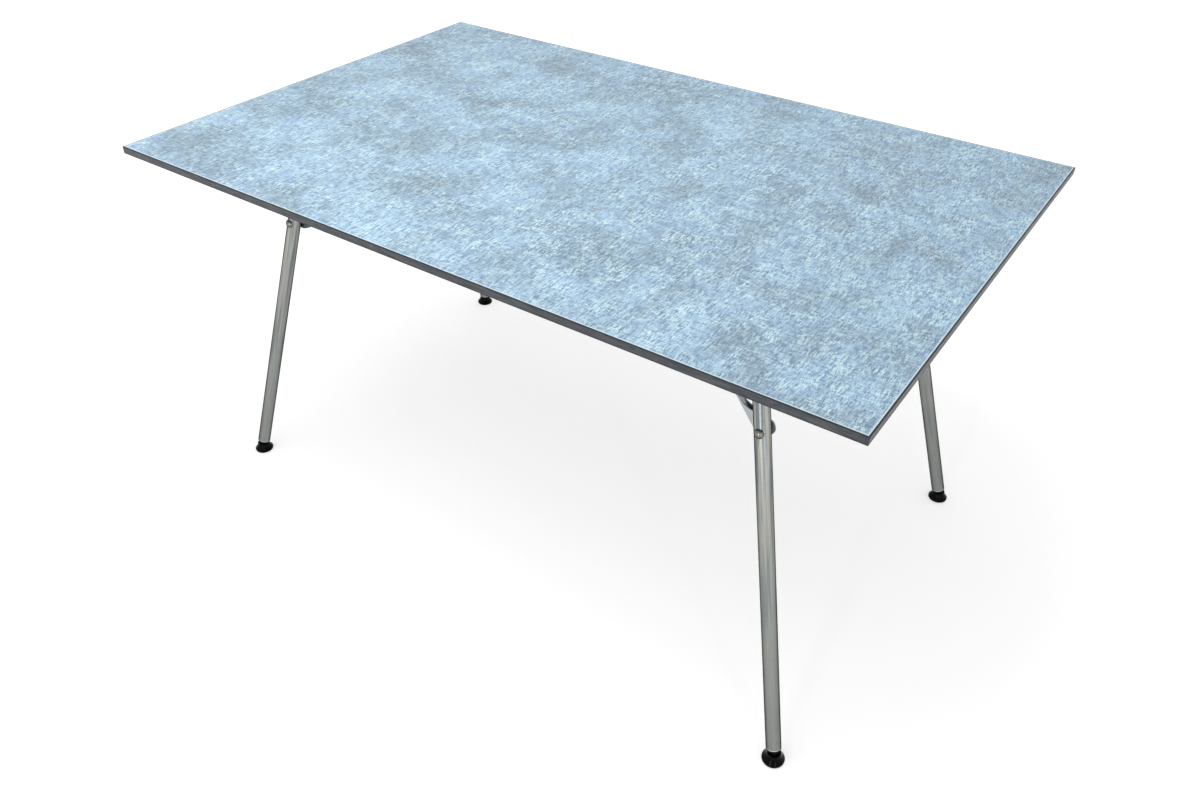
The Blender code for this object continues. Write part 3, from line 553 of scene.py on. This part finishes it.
def rivet(radius, height, land, shank, base, sides):
    """A rivet along Z, alike at both ends: crown, rolled rim, the flat under it, and shank."""
    upper = dome(radius - land, height - land, base + land, 12)
    upper += arc((radius - land, base + land), land, math.pi / 2 * 0.8, -math.pi / 2, 5)
    upper.append(Vector((shank, base)))
    lower = [(out, -up) for out, up in reversed(upper)]
    return turned(upper + lower, sides)


def underside_at(across):
    """How far the underside of the board lies above the pivot in a leg's tilted plane."""
    return (PIVOT_DROP + across * math.sin(TILT)) / math.cos(TILT)


def pressed_bracket(near, far, sheet, axis_up, ear_radius, ear_width, tab):
    """A channel with two round ears about an axis, and a tab at each end against the board."""
    # The folded channel, long enough for ears and tabs
    seat = GAP / math.cos(TILT)
    foot = -ear_radius - SPARE
    near_top = underside_at(near) - axis_up - seat
    far_top = underside_at(far) - axis_up - seat
    outside, inside = folded_sheet([(near, foot), (near, near_top), (far, far_top), (far, foot)],
                                   sheet, BRACKET_BEND)
    half_ear = ear_width / 2
    half = half_ear + tab
    body = moved(plate(outside + inside[::-1], -half, half),
                 Matrix.Rotation(math.radians(90), 4, "Z"))

    # The ears' outline, from the side
    top = max(near_top, far_top) + SPARE
    shoulder = Vector((half_ear,
                       min(near_top, far_top) - (sheet + BRACKET_BEND) / math.cos(TILT)))
    bearing = math.atan2(shoulder.y, shoulder.x)
    tangent = math.acos(ear_radius / shoulder.length)
    side = [Vector((-half_ear, top)), Vector((-half_ear, shoulder.y))]
    side += arc((0, 0), ear_radius, math.pi - bearing + tangent, math.tau + bearing - tangent, 28)
    side += [Vector((half_ear, shoulder.y)), Vector((half_ear, top))]
    ears = plate(side, near - SPARE, far + SPARE)

    # The tabs' outline, from above
    corner = 0.005
    half_tab = (far - near) / (2 * math.cos(TILT)) - sheet - BRACKET_BEND
    plan = []
    for along, across, start in ((1, -1, -90), (1, 1, 0), (-1, 1, 90), (-1, -1, 180)):
        plan += arc((along * (half - corner), across * (half_tab - corner)), corner,
                    math.radians(start), math.radians(start + 90), 8)
    middle = (near + far) / 2
    tabs = moved(plate(plan, -sheet - SPARE, sheet + SPARE),
                 Matrix.Translation((0, middle, underside_at(middle) - axis_up))
                 @ Matrix.Rotation(TILT - math.radians(90), 4, "X"))
    return combined("INTERSECT", body, combined("UNION", ears, tabs))


def screw_place(along, across, axis_up):
    """The frame of a screw under a tab: its head hangs below the sheet."""
    return (Matrix.Translation((along, across, underside_at(across) - axis_up))
            @ Matrix.Rotation(TILT, 4, "X"))


def bored_bracket(bracket, screws, axis_up, bore):
    """The bracket with a hole for each of its screws, and the bore through its ears."""
    reach = 0.0045
    holes = [moved(rod(SCREW_BORE, -reach, reach, 24), screw_place(*spot, axis_up))
             for spot in screws]
    return combined("DIFFERENCE", bracket, *holes, moved(bore, ALONG_Y))


# The brackets' screws: how far along and across from the axis of the ears
HINGE_SCREWS = [(end * 0.037, side * 0.00752) for end in (-1, 1) for side in (-1, 1)]
CATCH_SCREWS = [(end * 0.022, STAY_MIDDLE) for end in (-1, 1)]


def make_hinge_bracket():
    bracket = pressed_bracket(-EAR_OUTER, EAR_OUTER, BRACKET_SHEET, axis_up=0.0,
                              ear_radius=0.0130, ear_width=0.0420, tab=0.0270)
    reach = 0.019
    return bored_bracket(bracket, HINGE_SCREWS, 0.0, rod(RIVET_BORE, -reach, reach, 48))


def make_catch_bracket():
    bracket = pressed_bracket(CATCH_NEAR, CATCH_FAR, CATCH_SHEET, axis_up=CATCH_UP,
                              ear_radius=0.0080, ear_width=0.0230, tab=0.0190)
    return bored_bracket(bracket, CATCH_SCREWS, CATCH_UP,
                         rod(PIN_BORE, -CATCH_FAR - SPARE, SPARE - CATCH_NEAR, 40))


def make_screw():
    """Pan-head screw from below: a short shank, and under it a domed head with a cross recess."""
    shank, radius = 0.0019, 0.0040
    top, flat, rim, crown = -0.0028, -0.0031, -0.0037, 0.0018
    steps = 8
    turns = [math.pi / 2 * i / steps for i in range(1, steps + 1)]
    head = turned([(0, top), (shank, top), (shank, flat), (radius, flat), (radius, rim)]
                  + [(radius * math.cos(turn), rim - crown * math.sin(turn)) for turn in turns], 32)
    half_slot, bottom, mouth = 0.00042, (0.0021, -0.0043), (0.0023, -0.0066)
    arm = [(-bottom[0], bottom[1]), bottom, mouth, (-mouth[0], mouth[1])]
    arms = [moved(plate(arm, -half_slot, half_slot), Matrix.Rotation(math.radians(turn), 4, "Z"))
            for turn in (0, 90)]
    return combined("DIFFERENCE", head, *arms)


def make_hinge_rivet():
    return moved(rivet(radius=0.00675, height=0.0030, land=0.0007, shank=RIVET_SHANK,
                       base=EAR_OUTER + GAP, sides=48), ALONG_Y)


def make_head_rivet():
    return moved(rivet(radius=0.0036, height=0.0015, land=0.0004, shank=HEAD_RIVET_SHANK,
                       base=TUBE_RADIUS + GAP, sides=32), ALONG_X)


def make_leg_head():
    """The knuckle on top of the tube, and its spigot in the tube."""
    shoulder = 0.003 - HEAD_DROP
    half = TUBE_RADIUS - 0.001
    outline = arc((0, 0), half, 0, math.pi, 40)
    outline += [Vector((-half, shoulder)), Vector((half, shoulder))]
    knuckle = combined("INTERSECT", plate(outline, -TUBE_RADIUS, TUBE_RADIUS),
                       rod(TUBE_RADIUS + 0.0025, -HEAD_DROP, 0.015, 96))
    spigot = TUBE_BORE - GAP
    foot = -HEAD_DROP - 0.034
    ease, point = 0.0004, 0.002
    lower = turned([(0, shoulder + 0.003), (spigot, shoulder + 0.003),
                    (TUBE_RADIUS - ease, shoulder + 0.0013), (TUBE_RADIUS, shoulder + 0.0009),
                    (TUBE_RADIUS, ease - HEAD_DROP), (TUBE_RADIUS - ease, -HEAD_DROP),
                    (spigot, -HEAD_DROP), (spigot, foot + point), (spigot - point, foot),
                    (0, foot)], 96)
    bore = moved(rod(RIVET_BORE, -EAR_OUTER, EAR_OUTER, 48), ALONG_Y)
    pin_bore = moved(rod(HEAD_RIVET_BORE, -EAR_OUTER, EAR_OUTER, 24),
                     down(HEAD_RIVET_DROP) @ ALONG_X)
    return combined("DIFFERENCE", combined("UNION", knuckle, lower), bore, pin_bore)


def make_leg_tube():
    top, bottom = -HEAD_DROP - GAP, RIM_ABOVE_BALL - LEG_LENGTH
    ease, round_off = 0.0003, 0.0005
    wall = turned([(TUBE_BORE, top - ease), (TUBE_BORE + ease, top),
                   (TUBE_RADIUS - ease, top), (TUBE_RADIUS, top - ease)]
                  + arc((TUBE_RADIUS - round_off, bottom + round_off), round_off,
                        0, -math.pi / 2, 4)
                  + [(TUBE_BORE + ease, bottom), (TUBE_BORE, bottom + ease)], 96, closed=True)
    stay_hole = moved(rod(RIVET_BORE, -EAR_OUTER, EAR_OUTER, 48), down(STAY_RIVET_DROP) @ ALONG_Y)
    head_hole = moved(rod(HEAD_RIVET_BORE, -EAR_OUTER, EAR_OUTER, 24),
                      down(HEAD_RIVET_DROP) @ ALONG_X)
    return combined("DIFFERENCE", wall, stay_hole, head_hole)


def make_stay():
    """A folded strip with a heel and a hook, and two flanges that run up to the ear at the leg."""
    # The strip, with its rivet at the origin
    outer = -STAY_OFFSET
    inner = outer + STAY_SHEET
    fold = 0.0055
    heel = Vector((-0.0065, outer + 0.0075))
    outside, inside = folded_sheet([(STAY_REACH, outer), (fold, outer), heel], STAY_SHEET, 0.006)
    pin = (STAY_REACH, -PIN_OFFSET)
    opening = math.radians(12.0)
    lip = Vector((-math.sin(opening), math.cos(opening))) * 0.003
    hook_out = arc(pin, HOOK_RADIUS + STAY_SHEET, -math.pi / 2, opening, 28)
    hook_in = arc(pin, HOOK_RADIUS, -math.pi / 2, opening, 28)
    hook_out.append(hook_out[-1] + lip)
    hook_in.append(hook_in[-1] + lip)
    strip = plate(outside[:0:-1] + hook_out + hook_in[::-1] + inside[1:], STAY_NEAR, STAY_FAR)

    # The near flange: the ear, and the gusset line that runs out into the strip
    slope, sweep = math.radians(42.4), 0.038
    facing = math.pi / 2 - slope
    crest = (STAY_EAR - inner * math.sin(facing)) / math.cos(facing)
    run_out = crest + sweep * math.tan(slope / 2)
    fillet = arc((run_out, inner + sweep), sweep, -math.pi / 2, -math.pi / 2 - slope, 24)[1:]
    root = outer + STAY_SHEET / 2
    heel_root = heel + Vector((STAY_SHEET / 4, STAY_SHEET / 4))
    bearing = math.atan2(heel_root.y, heel_root.x) + math.tau
    start = bearing - math.acos(min(1.0, STAY_EAR / heel_root.length))
    ear = arc((0, 0), STAY_EAR, facing, start, 40)
    ear += [heel_root, Vector((fold, root)), Vector((run_out, root))] + fillet
    near_flange = plate(ear, STAY_NEAR, STAY_NEAR + STAY_SHEET)

    # The far flange: the same line, cut off square before the rivet
    cut = 0.009
    flange_top = (STAY_EAR - cut * math.cos(facing)) / math.sin(facing)
    cut_end = [Vector((cut, root)), Vector((cut, flange_top)), fillet[-1]]
    far_outline = rounded_path(cut_end, 0.003, 10) + fillet[-2::-1] + [Vector((run_out, root))]
    far_flange = plate(far_outline, STAY_FAR - STAY_SHEET, STAY_FAR)

    hole = moved(rod(RIVET_BORE, -STAY_NEAR - STAY_SHEET - SPARE, -TUBE_RADIUS, 48), ALONG_Y)
    return combined("DIFFERENCE", combined("UNION", strip, near_flange, far_flange), hole)


def make_stay_washer():
    edge, ease = 0.008, 0.0002
    ring = turned([(RIVET_BORE, -WASHER_NEAR), (edge - ease, -WASHER_NEAR),
                   (edge, -WASHER_NEAR - ease), (edge, ease - WASHER_FAR),
                   (edge - ease, -WASHER_FAR), (RIVET_BORE, -WASHER_FAR)], 48, closed=True)
    return moved(ring, ALONG_Y)


def make_stay_rivet():
    """The domed head on the tube, hollowed to sit on it, and the set tail behind the stay's ear."""
    rim = TUBE_RADIUS + GAP
    radius = 0.00775
    skirt = math.sqrt(rim ** 2 - radius ** 2) - SPARE
    crown = dome(radius, 0.0046, rim, 20)
    head = moved(turned(crown + [(radius, skirt), (0, skirt)], 64), ALONG_Y)
    reach = 0.02
    head = combined("DIFFERENCE", head, rod(rim, -reach, reach, 128))
    tail = -STAY_NEAR - STAY_SHEET - GAP
    end = tail - 0.0022
    set_radius, edge, inside = 0.0055, 0.0007, rim + 0.0014
    body = turned([(0, inside), (RIVET_SHANK, inside), (RIVET_SHANK, tail), (set_radius, tail),
                   (set_radius, end + edge)]
                  + arc((set_radius - edge, end + edge), edge, 0, -math.pi / 2, 4)[1:]
                  + [(0.0022, end), (0.0018, end + 0.0005), (0, end + 0.0006)], 48)
    return combined("UNION", moved(body, ALONG_Y), head)


def make_catch_pin():
    """A pin with an upset head at each end."""
    shank, shoulder, head = CATCH_PIN / 2, 0.0042, 0.0046
    near, far = GAP - CATCH_NEAR, -GAP - CATCH_FAR
    return moved(turned([(0, near + 0.0012), (shank, near + 0.0012), (shoulder, near + 0.0009),
                         (head, near), (shank, near), (shank, far), (head, far),
                         (shoulder, far - 0.0009), (shank, far - 0.0012), (0, far - 0.0012)], 40),
                 ALONG_Y)


def make_foot_plug():
    """The ribbed insert in the tube, its collar, its neck and its ball."""
    rim = RIM_ABOVE_BALL - GAP
    rib = TUBE_BORE - GAP
    core = rib - 0.0027
    length, taper = 0.028, 0.004
    profile = [(0, rim + length), (core, rim + length)]
    for index in (2, 1):
        level = rim + length * index / 3
        profile += [(core, level + taper), (rib, level), (core, level)]
    profile.append((core, rim))
    foot = rim - 0.003
    neck, ease = 0.0032, 0.0008
    profile += arc((TUBE_RADIUS - ease / 2, rim - ease / 2), ease / 2, math.pi / 2, 0, 3)
    profile += arc((TUBE_RADIUS - ease, foot + ease), ease, 0, -math.pi / 2, 5)
    profile += arc((neck + ease, foot - ease), ease, math.pi / 2, math.pi, 5)
    profile += arc((0, 0), BALL_RADIUS, math.acos(neck / BALL_RADIUS), -math.pi / 2, 24)[:-1]
    profile.append((0, -BALL_RADIUS))
    return turned([tuple(p) for p in profile], 72)


def make_swivel_foot():
    """The bell foot round the ball: the socket, the neck's rounded rim, the bell and its lip."""
    socket = BALL_RADIUS + GAP
    cup = arc((0, 0), socket, math.radians(-72), math.asin(0.003 / socket), 18)
    profile = [(0, -socket)] + [tuple(p) for p in cup]
    top = 0.0055
    profile += [(cup[-1].x + 0.002, top - 0.0003), (cup[-1].x + 0.0025, top)]
    neck, rim = 0.01175, 0.0012
    level = top - rim
    profile += [tuple(p) for p in arc((neck - rim, level), rim, math.pi / 2, 0, 6)]
    lip, floor = 0.0022, -BALL_HEIGHT
    flare, steps = 0.00725, 18
    fall = floor + 2 * lip - level
    for share in (step / steps for step in range(1, steps + 1)):
        profile.append((neck + flare * share ** 1.5, level + fall * share))
    profile += [tuple(p) for p in arc((neck + flare - lip, floor + lip), lip, 0, -math.pi / 2, 8)]
    profile.append((0, floor))
    return turned(profile, 96)


def band_profile():
    """Section of the edging, depth and height, from its top inner corner round the outside."""
    half, radius = BOARD_THICKNESS / 2, BAND_EDGE
    points = [Vector((BAND_THICKNESS, half))]
    points += arc((radius, half - radius), radius, math.pi / 2, math.pi, 6)
    points += arc((radius, radius - half), radius, math.pi, math.pi * 1.5, 6)
    points.append(Vector((BAND_THICKNESS, -half)))
    return points


def make_band(length):
    """A strip of edging with mitred ends."""
    shape = bmesh.new()
    left, right = [[shape.verts.new((end * ((length - GAP) / 2 - depth), depth, height))
                    for depth, height in band_profile()] for end in (-1, 1)]
    for i in range(len(left)):
        j = (i + 1) % len(left)
        shape.faces.new((left[i], left[j], right[j], right[i]))
    shape.faces.new(left)
    shape.faces.new(right[::-1])
    bmesh.ops.recalc_face_normals(shape, faces=shape.faces)
    return mesh_of(shape, "band")


# ---- Placing

def smooth(mesh):
    mesh.shade_smooth()
    mesh.set_sharp_from_angle(angle=math.radians(30))


def ease_edges(obj, width):
    """A small bevel that catches the light on pressed and moulded edges."""
    bevel = obj.modifiers.new("ease", "BEVEL")
    bevel.width = width
    bevel.segments = 2
    bevel.limit_method = "ANGLE"
    bevel.angle_limit = math.radians(35)


def add_piece(name, mesh, matrix, finish, body, node=None):
    """A piece that rides on a body, in place of a node's solid if one is named."""
    obj = bpy.data.objects.new(name, mesh)
    bpy.context.scene.collection.objects.link(obj)
    obj.matrix_world = matrix
    material, slot = finish
    mesh.materials.clear()
    mesh.materials.append(material)
    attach(obj, body)
    if node:
        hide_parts(node)
    return obj


def mirrored(mesh):
    """The shape for a corner of the other hand."""
    copy = mesh.copy()
    copy.transform(Matrix.Diagonal((-1, 1, 1, 1)))
    copy.flip_normals()
    return copy


def paint(node, material):
    """The node's own solid shows, in this material."""
    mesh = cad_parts[node].data
    mesh.materials.clear()
    mesh.materials.append(material)


# Finishes of the pieces, each a material and its slot
decor, band = decor_material(), (band_material(), "edge_band")
aluminium = (aluminium_material(), "leg_aluminium")
steel = (steel_material(), "plated_steel")
bright = (rivet_material(), "rivet_metal")
nylon = (nylon_material(), "black_nylon")
foot_gloss = (foot_material(), "foot_black")
plug_gloss = (foot_gloss[0], "black_nylon")
paint("decor_laminate", decor)
paint("top_core", core_material())
paint("balance_laminate", balance_material())

MIDDLE = UNDERSIDE + BOARD_THICKNESS / 2
for side, length, spot, turn in (("front", TOP_LENGTH, (0, -TOP_WIDTH / 2), 0),
                                 ("right", TOP_WIDTH, (TOP_LENGTH / 2, 0), 90),
                                 ("back", TOP_LENGTH, (0, TOP_WIDTH / 2), 180),
                                 ("left", TOP_WIDTH, (-TOP_LENGTH / 2, 0), 270)):
    strip_mesh = make_band(length)
    smooth(strip_mesh)
    place = Matrix.Translation((*spot, MIDDLE)) @ Matrix.Rotation(math.radians(turn), 4, "Z")
    add_piece("edging_" + side, strip_mesh, place, band, "table", "edge_band_" + side)

# The shapes of one corner: mesh, frame, how far down in it, finish, and bevel width or 0
PIECES = {
    "hinge_bracket": (make_hinge_bracket(), "plane", 0, steel, 0.00025),
    "hinge_rivet": (make_hinge_rivet(), "plane", 0, bright, 0),
    "catch_bracket": (make_catch_bracket(), "catch", 0, steel, 0.0002),
    "catch_pin": (make_catch_pin(), "catch", 0, bright, 0),
    "leg_head": (make_leg_head(), "leg", 0, nylon, 0.0003),
    "head_rivet": (make_head_rivet(), "leg", HEAD_RIVET_DROP, bright, 0),
    "leg_tube": (make_leg_tube(), "leg", 0, aluminium, 0),
    "stay_washer": (make_stay_washer(), "leg", STAY_RIVET_DROP, nylon, 0),
    "stay_rivet": (make_stay_rivet(), "leg", STAY_RIVET_DROP, bright, 0),
    "stay": (make_stay(), "stay", 0, steel, 0.0003),
    "foot_plug": (make_foot_plug(), "leg", LEG_LENGTH, plug_gloss, 0),
    "swivel_foot": (make_swivel_foot(), "foot", 0, foot_gloss, 0),
}
screw_mesh = make_screw()
smooth(screw_mesh)
for mesh, *_ in PIECES.values():
    smooth(mesh)


def corner_frames(end, side, hand):
    """Where a corner's shapes are modelled: the leg's tilted plane, and what stands in it."""
    tilt = Matrix.Rotation(-TILT, 4, "X")
    lean = Matrix.Rotation(hand * LEAN, 4, "Y")
    pivot = (end * PIVOT[0], side * (PIVOT[1] - hand * STAGGER / 2), PIVOT[2])
    turn = Matrix.Rotation(math.radians(90 + 90 * side), 4, "Z")
    plane = Matrix.Translation(pivot) @ turn @ tilt
    leg = plane @ lean
    stay_turn = Matrix.Rotation(-hand * (STAY_SLOPE + LEAN), 4, "Y")
    return {
        "plane": plane,
        "catch": plane @ Matrix.Translation((hand * CATCH_ALONG, 0, CATCH_UP)),
        "leg": leg,
        "stay": leg @ down(STAY_RIVET_DROP) @ stay_turn,
        "foot": leg @ down(LEG_LENGTH) @ (tilt @ lean).inverted(),
    }


def add_screws(kind, corner, carrier, spots, axis_up, turns):
    """One bracket's screws, each with its cross turned another way."""
    for index, ((along, across), turn) in enumerate(zip(spots, turns)):
        place = carrier @ screw_place(along, across, axis_up) @ Matrix.Rotation(turn, 4, "Z")
        add_piece(f"{kind}_{index + 1}_{corner}", screw_mesh.copy(), place, steel, "table")


for corner, end, side in CORNERS:
    hand = 1 if end == side else -1
    frames = corner_frames(end, side, hand)
    for name, (mesh, carrier, drop, finish, ease) in PIECES.items():
        own = mesh.copy() if hand > 0 else mirrored(mesh)
        body = "table" if carrier in ("plane", "catch") else f"{carrier}_{corner}"
        piece = add_piece(f"fine_{name}_{corner}", own, frames[carrier] @ down(drop), finish,
                          body, f"{name}_{corner}")
        if ease:
            ease_edges(piece, ease)
    add_screws("hinge_screw", corner, frames["plane"],
               [(hand * along, across) for along, across in HINGE_SCREWS], 0.0,
               [index * 0.9 + end for index in range(len(HINGE_SCREWS))])
    add_screws("catch_screw", corner, frames["catch"],
               [(hand * along, across) for along, across in CATCH_SCREWS], CATCH_UP,
               [index + 0.5 * side for index in range(len(CATCH_SCREWS))])


# ---- Studio

def seen_directly(tree):
    """1 for what the camera sees, straight or in a gloss or glass, and 0 for the object's light."""
    path = tree.nodes.new("ShaderNodeLightPath")
    total = path.outputs["Is Camera Ray"]
    for name in ("Is Glossy Ray", "Is Transmission Ray"):
        add = tree.nodes.new("ShaderNodeMath")
        add.operation = "MAXIMUM"
        tree.links.new(total, add.inputs[0])
        tree.links.new(path.outputs[name], add.inputs[1])
        total = add.outputs[0]
    return total


def add_floor():
    """A pale floor that keeps the shadow, and is white to the camera away from the table."""
    reach, drop = 20, 0.0002
    mesh = bpy.data.meshes.new("floor")
    mesh.from_pydata([(-reach, -reach, 0), (reach, -reach, 0), (reach, reach, 0),
                      (-reach, reach, 0)], [], [(0, 1, 2, 3)])
    floor = bpy.data.objects.new("floor", mesh)
    bpy.context.scene.collection.objects.link(floor)
    floor.location.z = -drop
    material = bpy.data.materials.new("floor_white")
    material.use_nodes = True
    nodes, links = material.node_tree.nodes, material.node_tree.links
    shader = nodes["Principled BSDF"]
    shader.inputs["Base Color"].default_value = (0.82, 0.82, 0.82, 1)
    shader.inputs["Roughness"].default_value = 0.9
    shader.inputs["Specular IOR Level"].default_value = 0.0
    shader.inputs["Emission Color"].default_value = (1, 1, 1, 1)
    coords = nodes.new("ShaderNodeTexCoord")
    distance = nodes.new("ShaderNodeVectorMath")
    distance.operation = "LENGTH"
    links.new(coords.outputs["Object"], distance.inputs[0])
    fade = nodes.new("ShaderNodeMapRange")
    for name, value in (("From Min", 0.9), ("From Max", 3.2), ("To Min", 0.55), ("To Max", 1.0)):
        fade.inputs[name].default_value = value
    links.new(distance.outputs["Value"], fade.inputs["Value"])
    lift = nodes.new("ShaderNodeMath")
    lift.operation = "MULTIPLY"
    links.new(seen_directly(material.node_tree), lift.inputs[0])
    links.new(fade.outputs["Result"], lift.inputs[1])
    links.new(lift.outputs[0], shader.inputs["Emission Strength"])
    mesh.materials.append(material)


def add_area(name, location, target, size, power):
    data = bpy.data.lights.new(name, "AREA")
    data.shape = "RECTANGLE"
    data.size, data.size_y = size
    data.energy = power
    obj = bpy.data.objects.new(name, data)
    bpy.context.scene.collection.objects.link(obj)
    obj.location = location
    aim = Vector(target) - Vector(location)
    obj.rotation_euler = aim.to_track_quat("-Z", "Y").to_euler()


def add_world():
    """Soft grey light all round, which the camera sees as white."""
    world = bpy.data.worlds.new("studio")
    bpy.context.scene.world = world
    world.use_nodes = True
    nodes, links = world.node_tree.nodes, world.node_tree.links
    mix = nodes.new("ShaderNodeMix")
    mix.data_type = "RGBA"
    mix.inputs["A"].default_value = (0.44, 0.44, 0.44, 1)
    mix.inputs["B"].default_value = (1, 1, 1, 1)
    links.new(seen_directly(world.node_tree), mix.inputs["Factor"])
    links.new(mix.outputs["Result"], nodes["Background"].inputs["Color"])


def add_camera():
    """The photograph's view, as fitted to the board's corners, the feet and the tubes."""
    spot, lens, sensor = (0.9452, -1.3464, 1.4467), 29.99, 36.0
    turn, fall, roll = math.radians(34.531), math.radians(37.215), math.radians(-0.519)
    forward = Vector((-math.sin(turn) * math.cos(fall), math.cos(turn) * math.cos(fall),
                      -math.sin(fall)))
    right = Vector((math.cos(turn), math.sin(turn), 0))
    down_view = forward.cross(right)
    across = math.cos(roll) * right + math.sin(roll) * down_view
    below = -math.sin(roll) * right + math.cos(roll) * down_view
    rotation = Matrix((across, -below, -forward)).transposed()
    camera = bpy.data.objects.new("camera", bpy.data.cameras.new("camera"))
    bpy.context.scene.collection.objects.link(camera)
    camera.matrix_world = Matrix.Translation(spot) @ rotation.to_4x4()
    camera.data.sensor_width = sensor
    camera.data.lens = lens
    bpy.context.scene.camera = camera


add_floor()
add_world()
add_area("key", (-0.35, -0.70, 2.15), (-0.1, 0.0, 0.7), (1.4, 1.4), 14.2)
add_area("overhead", (0.0, 0.2, 3.2), (0, 0, 0.5), (3.0, 2.4), 12)
add_area("strip_left", (0.82, -3.68, 0.85), (0.6, -0.4, 0.1), (0.24, 1.6), 17)
add_area("strip_right", (3.14, -2.55, 0.85), (0.6, -0.4, 0.1), (0.12, 1.6), 8.5)
add_camera()
bpy.context.scene.view_settings.view_transform = "Standard"
